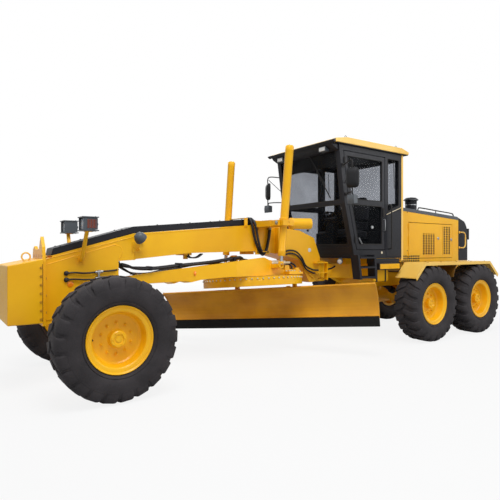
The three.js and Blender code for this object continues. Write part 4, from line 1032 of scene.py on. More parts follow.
def make_underbeam_hoses():
    drop = Builder()
    for i in range(3):
        y = 0.10 + 0.03 * i
        drop.tube(
            from_axle(
                [
                    (-1.36, y, 1.57), (-1.40, y + 0.01, 1.525), (-1.50, y + 0.02, 1.525),
                    (-1.58, y + 0.03, 1.575),
                ]
            ),
            0.010, 8,
        )
    drop.piece("underbeam_hoses", "front_frame", HOSE, smooth=60)


def make_beam_loops():
    """The hoses that hang beside the beam in front of the lift saddle, with their strap."""
    make_hanging_hoses()
    make_hose_strap()
    make_loop_fittings()
    make_underbeam_bracket()
    make_underbeam_hoses()


# ---- lift cylinders ----
def lift_line(side):
    """Trunnion, unit direction down the cylinder and distance to the rod's eye."""
    yoke = "lift_yoke_left" if side > 0 else "lift_yoke_right"
    trunnion = middle(yoke)
    eye = ROLLED @ Vector((ahead(-2.57), side * 0.775, 1.33))
    down = eye - trunnion
    return trunnion, down.normalized(), down.length


def make_lift_tube(side_name, trunnion, down):
    barrel = Builder()
    top, below = -1.15, 0.49
    barrel.lathe([
        (0, top), (0.052, top), (0.060, top + 0.008), (0.064, top + 0.02), (0.064, top + 0.075),
        (0.0625, top + 0.08), (0.0615, top + 0.082), (0.0615, -0.075), (0.064, -0.072), (0.073, -0.066),
        (0.073, 0.03), (0.064, 0.042), (0.055, 0.048), (0.053, 0.06), (0.053, below - 0.085),
        (0.0565, below - 0.08), (0.0575, below - 0.07), (0.0575, below - 0.008), (0.053, below),
        (0.034, below), (0.033, below - 0.02), (0, below - 0.02),
    ], trunnion, down, 56)
    for out in (1, -1):
        a = trunnion + Vector((0, out * 0.055, 0))
        barrel.rod(a, trunnion + Vector((0, out * 0.103, 0)), 0.0178, 20)
    across = Vector((1, 0, 0))
    for k in range(4):
        a = math.tau * (k + 0.5) / 4
        other = down.cross(across).normalized()
        spot = trunnion + down * top + (across * math.cos(a) + other * math.sin(a)) * 0.036
        barrel.bolt(spot, -down, 0.009, 0.009)
    obj = barrel.piece(f"lift_tube_{side_name}", f"lift_cylinder_{side_name}", YELLOW, smooth=35)
    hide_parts(f"lift_barrel_{side_name}")


def make_lift_piston_rod(side_name, trunnion, down, length):
    rod = Builder()
    rod.lathe([
        (0, -1.0), (0.0298, -1.0), (0.0298, length - 0.055), (0.026, length - 0.045),
        (0.024, length - 0.02), (0, length - 0.02),
    ], trunnion, down, 40)
    obj = rod.piece(f"lift_piston_rod_{side_name}", f"lift_piston_{side_name}", CHROME, smooth=35)
    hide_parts(f"lift_rod_{side_name}")


def make_lift_clevis(side_name, trunnion, down, length):
    clevis = Builder()
    neck = length - 0.062
    clevis.lathe(
        [(0, neck), (0.036, neck), (0.040, neck + 0.006), (0.040, length - 0.030), (0, length - 0.030)],
        trunnion, down, 32,
    )
    clevis.lathe([
        (0.020, -0.022), (0.040, -0.022), (0.044, -0.018), (0.044, 0.018), (0.040, 0.022),
        (0.020, 0.022), (0.018, 0.020), (0.018, -0.020),
    ], trunnion + down * length, (0, 1, 0), 40, closed=True)
    clevis.piece(f"lift_clevis_{side_name}", f"lift_piston_{side_name}", YELLOW, smooth=35)


def make_trunnion_caps(side_name, trunnion):
    pins = Builder()
    for out in (0.142, -0.142):
        way = 1 if out > 0 else -1
        spot = trunnion + Vector((out - way * 0.002, 0, 0))
        pins.cap(spot, (way, 0, 0), 0.032, 0.006, 0.022, 0.010, 24)
        for k in range(3):
            a = math.tau * k / 3
            pins.bolt(
                spot + Vector((way * 0.006, 0.022 * math.cos(a), 0.022 * math.sin(a))), (way, 0, 0), 0.005,
                0.006,
            )
    pins.piece(f"trunnion_caps_{side_name}", "front_frame", STEEL, smooth=30)


def make_lift_cylinder(side_name, side):
    """Barrel, rod, clevis and trunnion caps of one lift cylinder."""
    trunnion, down, length = lift_line(side)
    make_lift_tube(side_name, trunnion, down)
    make_lift_piston_rod(side_name, trunnion, down, length)
    make_lift_clevis(side_name, trunnion, down, length)
    make_trunnion_caps(side_name, trunnion)


def make_saddle_bolts(saddle_x):
    bolts = Builder()
    for side in (1, -1):
        y = side * 0.2342
        for dx in (-0.12, 0.08):
            for height in (1.60, 1.72, 1.86, 1.96):
                bolts.bolt((saddle_x + dx, y, height), (0, side, 0), 0.013, 0.013)
    for dx in (-0.10, 0.06):
        for dy in (-0.12, 0.12):
            bolts.bolt((saddle_x + dx, dy, 2.0902), (0, 0, 1), 0.013, 0.013)
    bolts.piece("saddle_bolts", "front_frame", BOLT, smooth=25)


def make_side_shift_cylinder(saddle_x, z):
    cap = Builder()
    start = Vector((saddle_x - 0.175, 0.685, z))
    end = Vector((saddle_x - 0.475, 0.845, z))
    way = (end - start).normalized()
    cap.lathe(
        [(0, 0.0), (0.084, 0.0), (0.087, 0.01), (0.087, 0.05), (0.082, 0.055), (0, 0.055)],
        start + way * 0.01, way, 48,
    )
    length = (end - start).length
    cap.lathe([
        (0, 0.0), (0.082, 0), (0.082, length - 0.01), (0.073, length + 0.004), (0.03, length + 0.010),
        (0, length + 0.010),
    ], start, way, 48)
    for k in range(6):
        a = math.tau * k / 6
        side_way = way.cross(Vector((0, 0, 1))).normalized()
        spot = end + way * 0.003 + (side_way * math.cos(a) + Vector((0, 0, 1)) * math.sin(a)) * 0.05
        cap.bolt(spot, way, 0.008, 0.008)
    cap.piece("side_shift_cylinder", "front_frame", YELLOW, smooth=35)


def make_saddle_details():
    """Bolts and the side shift cylinder on the lift saddle."""
    saddle_x = middle("lift_yoke_left").x
    z = middle("lift_yoke_left").z
    make_saddle_bolts(saddle_x)
    make_side_shift_cylinder(saddle_x, z)


# ---- drawbar, circle and blade ----
def make_circle_bolts(centre):
    bolts = Builder(ROLLED)
    for i in range(60):
        a = math.tau * i / 60
        out = Vector((math.cos(a), math.sin(a), 0))
        bolts.cap(centre + out * 0.7885 + Vector((0, 0, 1.157)), out, 0.013, 0.006, 0.009, 0.012, 8)
    bolts.piece("circle_bolts", "circle_table", PALE_BOLT, smooth=35)


def make_circle_ring(centre):
    ring = Builder(ROLLED)
    ring.lathe([
        (0.660, 1.052), (0.786, 1.052), (0.790, 1.058), (0.790, 1.128), (0.7875, 1.132),
        (0.7875, 1.180), (0.783, 1.1855), (0.664, 1.1855), (0.660, 1.180),
    ], centre, (0, 0, 1), 120, closed=True)
    ring.piece("circle_ring", "circle_table", YELLOW, smooth=30)


def make_circle_teeth():
    teeth = Builder(ROLLED)
    for i in range(72):
        a = math.tau * i / 72
        c, s = math.cos(a), math.sin(a)
        points = []
        for r, half in ((0.662, 0.018), (0.630, 0.009)):
            for k in (-1, 1):
                points.append((CIRCLE_X + r * c - k * half * s, r * s + k * half * c))
        teeth.prism([points[0], points[1], points[3], points[2]], 1.07, 1.165, "z")
    teeth.piece("circle_teeth", "circle_table", IRON, 0.002)


def make_circle_details():
    centre = Vector((CIRCLE_X, 0, 0))
    make_circle_bolts(centre)
    make_circle_ring(centre)
    make_circle_teeth()


def make_circle_motor():
    """Motor on the drawbar that turns the circle."""
    motor = Builder(ROLLED)
    x = ahead(-2.26)
    motor.lathe([
        (0, 1.25), (0.10, 1.25), (0.10, 1.30), (0.085, 1.315), (0.085, 1.40), (0.10, 1.41),
        (0.10, 1.445), (0.06, 1.455), (0, 1.455),
    ], (x, 0, 0), (0, 0, 1), 40)
    motor.lathe(
        [(0, 1.45), (0.055, 1.45), (0.062, 1.46), (0.062, 1.53), (0.05, 1.545), (0, 1.545)], (x, 0, 0),
        (0, 0, 1), 32,
    )
    motor.box((x - 0.05, -0.085, 1.465), (x + 0.05, -0.05, 1.525))
    motor.box((x - 0.05, 0.05, 1.465), (x + 0.05, 0.085, 1.525))
    for spot in around((x, 0, 1.445), "xy", 0.088, 8, 0.5):
        motor.bolt(spot, (0, 0, 1), 0.011, 0.011)
    motor.piece("circle_motor", "drawbar_frame", YELLOW, smooth=35)


def make_drawbar_plates():
    plates = Builder(ROLLED)
    for side in (1, -1):
        plates.box_ahead((-2.95, side * 0.46, 1.270), (-2.62, side * 0.58, 1.284))
        plates.box_ahead((-2.52, side * 0.34, 1.262), (-2.36, side * 0.43, 1.30))
        plates.prism(from_axle([(-2.52, 1.27), (-2.40, 1.27), (-2.52, 1.40)]), side * 0.50, side * 0.512)
        plates.box_ahead((-2.82, side * 0.47, 1.28), (-2.70, side * 0.55, 1.33))
    plates.box_ahead((-3.06, -0.30, 1.268), (-2.90, 0.30, 1.286))
    plates.piece("drawbar_plates", "drawbar_frame", YELLOW, 0.003)


def make_drawbar_bolts():
    bolts = Builder(ROLLED)
    for side in (1, -1):
        for d in (-2.66, -2.78, -2.90):
            for y in (0.49, 0.55):
                bolts.bolt((ahead(d), side * y, 1.284), (0, 0, 1), 0.014, 0.014)
        for d in (-0.62, -0.72):
            bolts.bolt((ahead(d), side * 0.10, 1.30), (0, 0, 1), 0.014, 0.014)
        for d in (-2.49, -2.39):
            bolts.bolt((ahead(d), side * 0.385, 1.30), (0, 0, 1), 0.014, 0.014)
    bolts.piece("drawbar_bolts", "drawbar_frame", BOLT, smooth=25)


def make_swivel_joint():
    cylinder = Builder(ROLLED)
    cylinder.rod((ahead(-2.60), 0.44, 1.385), (ahead(-2.86), 0.52, 1.385), 0.043, 28)
    cylinder.rod((ahead(-2.58), 0.434, 1.385), (ahead(-2.64), 0.452, 1.385), 0.05, 28)
    cylinder.rod((ahead(-2.70), 0.47, 1.30), (ahead(-2.70), 0.47, 1.385), 0.03, 20)
    cylinder.rod((ahead(-2.86), 0.52, 1.385), (ahead(-2.94), 0.545, 1.385), 0.022, 20)
    cylinder.piece("swivel_joint", "drawbar_frame", PALE_BOLT, smooth=35)


def make_valve_block():
    valve = Builder(ROLLED)
    valve.box_ahead((-2.93, 0.12, 1.272), (-2.78, 0.36, 1.37))
    valve.box_ahead((-2.90, 0.15, 1.37), (-2.81, 0.33, 1.39))
    for i in range(4):
        valve.rod(
            (ahead(-2.855), 0.165 + 0.05 * i, 1.38), (ahead(-2.855), 0.165 + 0.05 * i, 1.415), 0.014, 14,
        )
    valve.piece("valve_block", "drawbar_frame", YELLOW, 0.003)


def make_circle_hoses():
    hoses = Builder(ROLLED)
    for i in range(4):
        y = 0.165 + 0.05 * i
        hoses.tube(from_axle([
            (-2.855, y, 1.40), (-2.85, y, 1.425), (-2.77, y + 0.01, 1.445 - 0.01 * i),
            (-2.62, y * 0.8, 1.43 - 0.01 * i), (-2.45, y * 0.5 + 0.04, 1.45), (-2.31, 0.07, 1.495),
        ]), 0.011, 10)
    for side in (1, -1):
        hoses.tube(from_axle([
            (-2.52, side * 0.30, 1.30), (-2.56, side * 0.36, 1.36), (-2.66, side * 0.44, 1.37),
            (-2.80, side * 0.50, 1.345), (-2.92, side * 0.54, 1.30), (-3.0, side * 0.52, 1.285),
        ]), 0.012, 10)
    hoses.piece("circle_hoses", "drawbar_frame", HOSE, smooth=60)


def make_drawbar_reflectors():
    disc = Builder(ROLLED)
    for side in (1, -1):
        disc.cap((ahead(-1.36), side * 0.398, 1.27), (-0.34, side, 0), 0.038, 0.006, 0.03, 0.010, 24)
    disc.piece("drawbar_reflectors", "drawbar_frame", ORANGE, smooth=40)


def make_drawbar_details():
    make_circle_motor()
    make_drawbar_plates()
    make_drawbar_bolts()
    make_swivel_joint()
    make_valve_block()
    make_circle_hoses()
    make_rear_fittings()
    make_drawbar_reflectors()


def make_guide_shoes():
    """Shoes and lugs that hold the rear of the circle."""
    shoes = Builder(ROLLED)
    for side in (1, -1):
        inner, outer = sorted((side * 0.40, side * 0.66))
        shoes.box_ahead((-3.10, inner, 1.200), (-2.96, outer, 1.232))
        shoes.box_ahead((-3.05, inner + 0.03, 1.232), (-2.98, outer - 0.03, 1.300))
        inner, outer = sorted((side * 0.57, side * 0.74))
        shoes.box_ahead((-2.92, inner, 1.196), (-2.76, outer, 1.246))
        shoes.prism(
            from_axle([(-2.90, 1.246), (-2.78, 1.246), (-2.80, 1.345), (-2.86, 1.345)]),
            side * 0.585, side * 0.605,
        )
        shoes.prism(
            from_axle([(-2.99, 1.300), (-2.92, 1.300), (-2.93, 1.415), (-2.97, 1.415)]),
            side * 0.45, side * 0.472,
        )
    shoes.piece("guide_shoes", "drawbar_frame", YELLOW, 0.003)


def make_guide_shoe_studs():
    studs = Builder(ROLLED)
    for side in (1, -1):
        for d in (-2.79, -2.84, -2.89):
            for y in (0.635, 0.705):
                studs.bolt((ahead(d), side * y, 1.246), (0, 0, 1), 0.014, 0.018)
        for y in (0.44, 0.53, 0.62):
            studs.bolt((ahead(-3.075), side * y, 1.232), (0, 0, 1), 0.014, 0.018)
        studs.rod((ahead(-2.95), side * 0.43, 1.375), (ahead(-2.95), side * 0.50, 1.375), 0.026, 20)
    studs.piece("guide_shoe_studs", "drawbar_frame", PALE_BOLT, smooth=30)


def make_hose_elbows():
    """Elbows behind the circle, and the short hoses that leave them."""
    elbows = Builder(ROLLED)
    loops = Builder(ROLLED)
    for i in range(3):
        x, y = ahead(-2.70 - 0.06 * i), 0.36 + 0.02 * i
        elbows.rod((x, y, 1.27), (x, y, 1.335), 0.019, 6)
        elbows.rod((x, y, 1.325), (x, y, 1.36), 0.023, 6)
        loops.tube([
            (x, y, 1.35), (x - 0.005, y + 0.005, 1.375), (x - 0.05, y + 0.05, 1.400),
            (x - 0.13, y + 0.12, 1.390), (x - 0.19, y + 0.17, 1.345), (x - 0.20, y + 0.19, 1.29),
        ], 0.015, 10)
    elbows.piece("hose_elbows", "drawbar_frame", BOLT, slot="rod_chrome", smooth=30)
    loops.piece("rear_hose_loops", "drawbar_frame", HOSE, smooth=60)


def make_rear_fittings():
    """Guide shoes, brackets, elbows and short hoses over the rear of the circle."""
    make_guide_shoes()
    make_guide_shoe_studs()
    make_hose_elbows()


# the blade in the circle's own frame, x along the way it faces, before it is tipped
BLADE_FACE = -0.250
BLADE_LOW = 0.446
BLADE_TOP = 1.100
BLADE_SHIFT = 0.036
BLADE_HALF = 1.865
BLADE_LEFT = BLADE_SHIFT + BLADE_HALF
BLADE_RIGHT = BLADE_SHIFT - BLADE_HALF
BLADE_TIP = math.radians(18)
TIP_X = -0.5245
TIP_Z = 0.600
TIPPED = (
    TURNED
    @ Matrix.Translation((TIP_X, 0, TIP_Z))
    @ Matrix.Rotation(BLADE_TIP, 4, "Y")
    @ Matrix.Translation((-TIP_X, 0, -TIP_Z))
)


def make_cutting_edge():
    """Cutting edge and its two rows of bolts."""
    edge = Builder(TIPPED)
    x = BLADE_FACE
    edge.prism([
        (x + 0.004, BLADE_LOW + 0.150), (x - 0.030, BLADE_LOW + 0.150), (x - 0.030, BLADE_LOW + 0.125),
        (x + 0.008, BLADE_LOW - 0.001), (x + 0.043, BLADE_LOW - 0.001),
    ], BLADE_RIGHT - 0.001, BLADE_LEFT + 0.001)
    edge.piece("cutting_edge", "blade", EDGE, 0.002)
    bolts = Builder(TIPPED)
    for i in range(24):
        y = BLADE_RIGHT + 0.07 + i * (BLADE_LEFT - BLADE_RIGHT - 0.14) / 23
        bolts.lathe(
            [(0, 0), (0.014, 0), (0.012, 0.004), (0, 0.004)], (x + 0.012, y, BLADE_LOW + 0.115),
            (0.96, 0, 0.27), 16,
        )
        bolts.bolt((x - 0.030, y, BLADE_LOW + 0.138), (-1, 0, 0), 0.014, 0.016)
    bolts.piece("edge_bolts", "blade", EDGE, slot="engine_iron", smooth=30)


def make_blade_ends():
    """End plates and stiffeners, top lip and side shift cylinder."""
    ends = Builder(TIPPED)
    middle_z = (BLADE_LOW + 0.13 + BLADE_TOP) / 2
    half = math.asin((BLADE_TOP - BLADE_LOW - 0.13) / 2 / 0.4)
    centre_x = BLADE_FACE + 0.4 * math.cos(half)
    inner = [
        (centre_x - 0.392 * math.cos(a), middle_z + 0.392 * math.sin(a))
        for a in (half * (1 - k / 8) for k in range(17))
    ]
    outer = [
        (centre_x - 0.432 * math.cos(a), middle_z + 0.432 * math.sin(a))
        for a in (half * (k / 8 - 1) for k in range(17))
    ]
    for y0, y1 in ((BLADE_LEFT - 0.016, BLADE_LEFT + 0.003), (BLADE_RIGHT - 0.003, BLADE_RIGHT + 0.016)):
        ends.prism(inner + outer, y0, y1)
    for z in (middle_z - 0.15, middle_z + 0.15):
        for k in range(9):
            y = BLADE_RIGHT + 0.5 + k * 0.32
            ends.prism([
                (centre_x - 0.425, z + 0.022), (centre_x - 0.470, z + 0.022),
                (centre_x - 0.425, z + 0.07),
            ], y, y + 0.012)
    ends.piece("blade_ends", "blade", BLADE_YELLOW, 0.002)
    lip = Builder(TIPPED)
    top_x = centre_x - 0.412 * math.cos(half)
    lip.rod(
        (top_x, BLADE_RIGHT + 0.002, BLADE_TOP + 0.002), (top_x, BLADE_LEFT - 0.002, BLADE_TOP + 0.002),
        0.014, 16,
    )
    lip.piece("blade_lip", "blade", BLADE_YELLOW, smooth=40)
    shift = Builder(TIPPED)
    back = centre_x - 0.40 - 0.025 - 0.046 - 0.006
    shift.rod((back - 0.06, -0.62, middle_z - 0.02), (back - 0.06, 0.42, middle_z - 0.02), 0.045, 28)
    shift.rod((back - 0.06, 0.40, middle_z - 0.02), (back - 0.06, 0.44, middle_z - 0.02), 0.052, 28)
    shift.rod((back - 0.06, -0.66, middle_z - 0.02), (back - 0.06, -0.60, middle_z - 0.02), 0.052, 28)
    shift.piece("blade_side_shift", "blade_tilt", YELLOW, smooth=35)


def make_blade_details():
    make_cutting_edge()
    make_blade_ends()


# ---- cab ----
CAB_FRONT = [(-4.100, 1.49), (-4.075, 1.64), (-3.880, 2.40), (-3.740, 3.36)]
CAB_HALF = (high("cab_shell").y - low("cab_shell").y) / 2
CAB_REAR = low("cab_shell").x


def cab_front(z, behind=0.0):
    """x of the cab's front face at a height, or of a line that far behind it."""
    for (d0, z0), (d1, z1) in zip(CAB_FRONT, CAB_FRONT[1:]):
        if z <= z1 or z1 == CAB_FRONT[-1][1]:
            return ahead(d0 + (d1 - d0) * (z - z0) / (z1 - z0) - behind)


def front_strip(build, z0, z1, behind, thickness, y0, y1):
    """A flat strip that follows the slope of the cab's front between two heights."""
    build.prism([
        (cab_front(z0, behind), z0), (cab_front(z1, behind), z1),
        (cab_front(z1, behind + thickness), z1), (cab_front(z0, behind + thickness), z0),
    ], y0, y1)


def make_cab_panes():
    panes = Builder()
    front_strip(panes, 2.445, 3.275, 0.016, 0.006, -0.72, 0.72)
    front_strip(panes, 1.715, 2.395, 0.016, 0.006, -0.72, 0.72)
    panes.box((CAB_REAR + 0.018, -0.70, 2.47), (CAB_REAR + 0.024, 0.70, 3.24))
    for side in (1, -1):
        y = side * (CAB_HALF - 0.022)
        panes.prism(
            from_axle([(-5.275, 2.432), (-4.955, 2.296), (-4.955, 3.245), (-5.275, 3.245)]),
            y, y - side * 0.006,
        )
    panes.piece("cab_panes", "rear_frame", GLASS, smooth=10)


def make_window_seals():
    seals = Builder()
    for z0, z1 in ((2.45, 3.27), (1.72, 2.39)):
        for a, b in ((z0 - 0.004, z0 + 0.014), (z1 - 0.014, z1 + 0.004)):
            front_strip(seals, a, b, -0.004, 0.022, -0.72, 0.72)
        for side in (1, -1):
            front_strip(seals, z0, z1, -0.004, 0.022, side * 0.703, side * 0.719)
    for side in (1, -1):
        y = side * (CAB_HALF + 0.003)
        loop = from_axle([(-5.27, 2.43), (-4.96, 2.30), (-4.96, 3.24), (-5.27, 3.24)])
        for (x0, z0), (x1, z1) in zip(loop, loop[1:] + loop[:1]):
            seals.rod((x0, y - side * 0.006, z0), (x1, y - side * 0.006, z1), 0.008, 8)
    seals.piece("window_seals", "rear_frame", SHADE, 0.002)


def make_cab_glass():
    make_cab_panes()
    make_window_seals()


def make_door_panes(side_name, side, y, rear, body):
    panes = Builder()
    for z0, z1 in ((2.47, 3.18), (1.725, 2.39)):
        panes.prism([
            (rear - 0.004, z0), (cab_front(z0, 0.161), z0), (cab_front(z1, 0.161), z1),
            (rear - 0.004, z1),
        ], y, y - side * 0.006)
    panes.piece(f"door_panes_{side_name}", body, GLASS, smooth=10)


def make_door_seals(side_name, side, rear, body):
    """Seals, hinges and latch box of a door, and its handle."""
    trim = Builder()
    face = side * (CAB_HALF + 0.002)
    for z0, z1 in ((2.475, 3.175), (1.73, 2.385)):
        loop = [(rear, z0), (cab_front(z0, 0.165), z0), (cab_front(z1, 0.165), z1), (rear, z1)]
        for (x0, h0), (x1, h1) in zip(loop, loop[1:] + loop[:1]):
            trim.rod((x0, face - side * 0.006, h0), (x1, face - side * 0.006, h1), 0.008, 8)
    for z in (1.80, 2.43, 3.10):
        trim.rod(
            (cab_front(z, 0.088), face + side * 0.006, z - 0.05),
            (cab_front(z, 0.088), face + side * 0.006, z + 0.05), 0.014, 14,
        )
    trim.box((rear - 0.055, face, 2.20), (rear - 0.02, face + side * 0.016, 2.36))
    trim.piece(f"door_seals_{side_name}", body, SHADE, 0.002)
    handle = Builder()
    handle.rod((ahead(-4.535), face, 2.02), (ahead(-4.535), face + side * 0.018, 2.02), 0.026, 24)
    handle.rod(
        (ahead(-4.20), face + side * 0.012, 1.835), (ahead(-4.275), face + side * 0.012, 1.735), 0.011, 14,
    )
    handle.tube([
        (rear - 0.038, face, 2.16), (rear - 0.038, face + side * 0.035, 2.15),
        (rear - 0.038, face + side * 0.035, 1.98), (rear - 0.038, face, 1.97),
    ], 0.008, 10)
    handle.piece(f"door_handle_{side_name}", body, STEEL, smooth=35)


def make_door_details(side_name, side):
    """Panes, seals, hinges and handle of a cab door."""
    y = side * (CAB_HALF - 0.022)
    rear = ahead(-4.805)
    body = f"cab_door_{side_name}"
    make_door_panes(side_name, side, y, rear, body)
    make_door_seals(side_name, side, rear, body)


def make_roof_fascia(front, half, z):
    fascia = Builder()
    fascia.prism([
        (front - 0.030, z - 0.012), (front + 0.004, z + 0.014), (front + 0.002, z + 0.026),
        (front - 0.060, z + 0.050), (front - 0.060, z - 0.012),
    ], -half - 0.002, half + 0.002)
    fascia.prism([
        (front - 0.185, z - 0.004), (front - 0.04, z - 0.004), (front - 0.07, z - 0.05),
        (front - 0.205, z - 0.115),
    ], -CAB_HALF + 0.02, CAB_HALF - 0.02)
    for side in (1, -1):
        fascia.box(
            (low("cab_roof").x + 0.03, side * 0.795, z - 0.010),
            (front - 0.10, side * (half - 0.004), z + 0.002),
        )
    fascia.box(
        (low("cab_roof").x + 0.025, -half + 0.006, z - 0.010), (CAB_REAR + 0.02, half - 0.006, z + 0.002),
    )
    fascia.piece("roof_fascia", "rear_frame", BLACK, 0.004)


def make_sun_visor():
    visor = Builder()
    front_strip(visor, 3.02, 3.30, 0.03, 0.012, -0.70, 0.70)
    visor.piece("sun_visor", "rear_frame", SHADE, 0.003)


def make_roof_lamps(front, half, z):
    """Lamps with their lenses, lifting eyes and ribs."""
    lamps, lenses = Builder(), Builder()
    for side in (1, -1):
        x, y, top = front - 0.085, side * 0.55, z - 0.035
        lamps.box((x - 0.05, y - 0.075, top - 0.085), (x + 0.035, y + 0.075, top))
        lamps.rod((x - 0.01, y, top - 0.01), (x - 0.01, y, top + 0.03), 0.014, 12)
        lenses.prism([
            (x + 0.032, top - 0.075), (x + 0.044, top - 0.07), (x + 0.044, top - 0.014),
            (x + 0.032, top - 0.010),
        ], y - 0.064, y + 0.064)
        lamps.box((CAB_REAR - 0.05, y - 0.075, top - 0.085), (CAB_REAR - 0.002, y + 0.075, top))
        lenses.box((CAB_REAR - 0.056, y - 0.064, top - 0.075), (CAB_REAR - 0.048, y + 0.064, top - 0.010))
    lamps.piece("roof_lamps", "rear_frame", LAMP_GREY, 0.006)
    lenses.piece("roof_lamp_lenses", "rear_frame", PALE, 0.003)
    eyes = Builder()
    top = high("cab_roof").z
    for d in (-3.95, -5.25):
        for side in (1, -1):
            foot = Vector((ahead(d), side * (half - 0.10), top - 0.004))
            ring_tube(eyes, upright_loop(foot, 0.024, 0.026, 16), 0.007, 8)
            eyes.lathe([(0, 0), (0.02, 0), (0.018, 0.008), (0, 0.008)], foot, (0, 0, 1), 14)
    eyes.piece("roof_eyes", "rear_frame", STEEL, smooth=50)
    ribs = Builder()
    for i in range(5):
        y = -0.56 + 0.28 * i
        ribs.prism(
            from_axle(
                [(-5.25, top - 0.002), (-5.22, top + 0.008), (-3.98, top + 0.008), (-3.94, top - 0.002)]
            ),
            y - 0.03, y + 0.03,
        )
    # the lighter yellow on the roof ribs is a painted highlight
    ribs.piece("roof_ribs", "rear_frame", LIT_YELLOW, 0.004)


def make_roof_details():
    """Fascia, visor, lamps, lifting eyes and ribs of the roof."""
    front = high("cab_roof").x
    half = high("cab_roof").y
    z = low("cab_roof").z
    make_roof_fascia(front, half, z)
    make_sun_visor()
    make_roof_lamps(front, half, z)


def make_cab_rear_posts():
    posts = Builder()
    for side in (1, -1):
        a, b = side * (CAB_HALF - 0.07), side * (CAB_HALF + 0.004)
        posts.box((CAB_REAR - 0.045, a, 1.44), (CAB_REAR + 0.006, b, 3.352))
    posts.box((CAB_REAR - 0.030, -0.73, 1.44), (CAB_REAR - 0.001, 0.73, 1.56))
    # the lighter yellow on the rear posts is a painted highlight
    posts.piece("cab_rear_posts", "rear_frame", LIT_YELLOW, 0.006)


def make_wipers():
    wiper = Builder()
    base = Vector((cab_front(3.25, -0.012), 0.10, 3.25))
    tip = Vector((cab_front(2.72, -0.016), 0.42, 2.72))
    wiper.rod(base, tip, 0.006, 8)
    wiper.rod(base + Vector((-0.02, 0, 0)), base + Vector((0.012, 0, 0)), 0.018, 14)
    blade_a = Vector((cab_front(2.98, -0.010), 0.24, 2.98))
    blade_b = Vector((cab_front(2.50, -0.010), 0.50, 2.50))
    wiper.rod(blade_a, blade_b, 0.009, 6)
    for side in (1, -1):
        y = side * (CAB_HALF + 0.012)
        wiper.rod((ahead(-5.11), y, 3.20), (ahead(-5.13), y, 2.72), 0.006, 8)
    wiper.piece("wipers", "rear_frame", SHADE, smooth=35)


def make_cab_side_panels():
    panel = Builder()
    for side in (1, -1):
        y = side * (CAB_HALF - 0.001)
        panel.prism(
            from_axle([(-5.33, 1.52), (-4.915, 1.52), (-4.915, 2.235), (-5.33, 2.375)]),
            min(y, y + side * 0.007), max(y, y + side * 0.007),
        )
    panel.piece("cab_side_panels", "rear_frame", BLACK, 0.003)


def make_cab_trim_strips():
    strip = Builder()
    for side in (1, -1):
        y = side * (CAB_HALF + 0.008)
        strip.rod((ahead(-4.92), y, 2.255), (ahead(-5.325), y, 2.395), 0.007, 10)
        strip.lathe(
            [(0, 0), (0.022, 0), (0.022, 0.004), (0, 0.005)], (ahead(-4.80), side * CAB_HALF, 1.585),
            (0, side, 0), 20,
        )
    strip.piece("cab_trim_strips", "rear_frame", PALE_BOLT, smooth=40)


def make_cab_front_sill():
    lower = Builder()
    front_strip(lower, 1.495, 1.70, -0.002, 0.010, -0.79, 0.79)
    for z in (1.53, 1.60, 1.67):
        front_strip(lower, z, z + 0.012, -0.006, 0.01, -0.70, 0.70)
    lower.piece("cab_front_sill", "rear_frame", BLACK, 0.002)


def make_step_lamp():
    lamp = Builder()
    spot = Vector((ahead(-4.06), 0.52, 1.44))
    aim = Vector((0.86, 0.42, -0.28))
    lamp.lathe(
        [(0, -0.06), (0.03, -0.055), (0.046, -0.02), (0.05, 0.02), (0.046, 0.024), (0, 0.024)], spot, aim,
        28,
    )
    lamp.box_ahead((-4.09, 0.50, 1.45), (-4.05, 0.54, 1.50))
    lamp.piece("step_lamp", "rear_frame", LAMP_GREY, smooth=45)
    lens = Builder()
    lens.lathe([(0, 0.030), (0.03, 0.028), (0.043, 0.022), (0, 0.020)], spot, aim, 28)
    lens.piece("step_lamp_lens", "rear_frame", PALE, smooth=45)


def make_cab_details():
    make_cab_rear_posts()
    make_wipers()
    make_cab_side_panels()
    make_cab_trim_strips()
    make_cab_front_sill()
    make_step_lamp()


def cushion(name, centre, size, tilt, channels=3):
    """A crowned cushion with sides that pull in between its corners, and sewn channels across its face."""
    body = bmesh.new()
    bmesh.ops.create_cube(body, size=2)
    bmesh.ops.subdivide_edges(body, edges=body.edges, cuts=15, use_grid_fill=True)
    for vert in body.verts:
        x, y, z = vert.co
        pull = 1 - 0.05 * (1 - x * x) * abs(y) ** 6 - 0.05 * (1 - y * y) * abs(x) ** 6
        shape = (abs(x) ** 6 + abs(y) ** 6 + abs(z) ** 6) ** (1 / 6)
        x, y, z = x / shape * pull, y / shape * pull, z / shape
        crown = 0.18 * (1 - x * x) * (1 - y * y)
        groove = 0.10 * math.exp(-((((y + 1) * channels / 2) % 1 - 0.5) / 0.12) ** 2) if abs(y) < 0.9 else 0
        if z > 0:
            z = z + crown - groove * (1 - x ** 8)
        vert.co = (x * size[0] / 2, y * size[1] / 2, z * size[2] / 2)
    body.transform(Matrix.Translation(centre) @ Matrix.Rotation(tilt, 4, "Y"))
    mesh = bpy.data.meshes.new(name)
    bmesh.ops.recalc_face_normals(body, faces=body.faces)
    for face in body.faces:
        face.smooth = True
    body.to_mesh(mesh)
    body.free()
    mesh.materials.append(FABRIC)
    obj = bpy.data.objects.new(name, mesh)
    bpy.context.scene.collection.objects.link(obj)
    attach(obj, "rear_frame")
    return obj


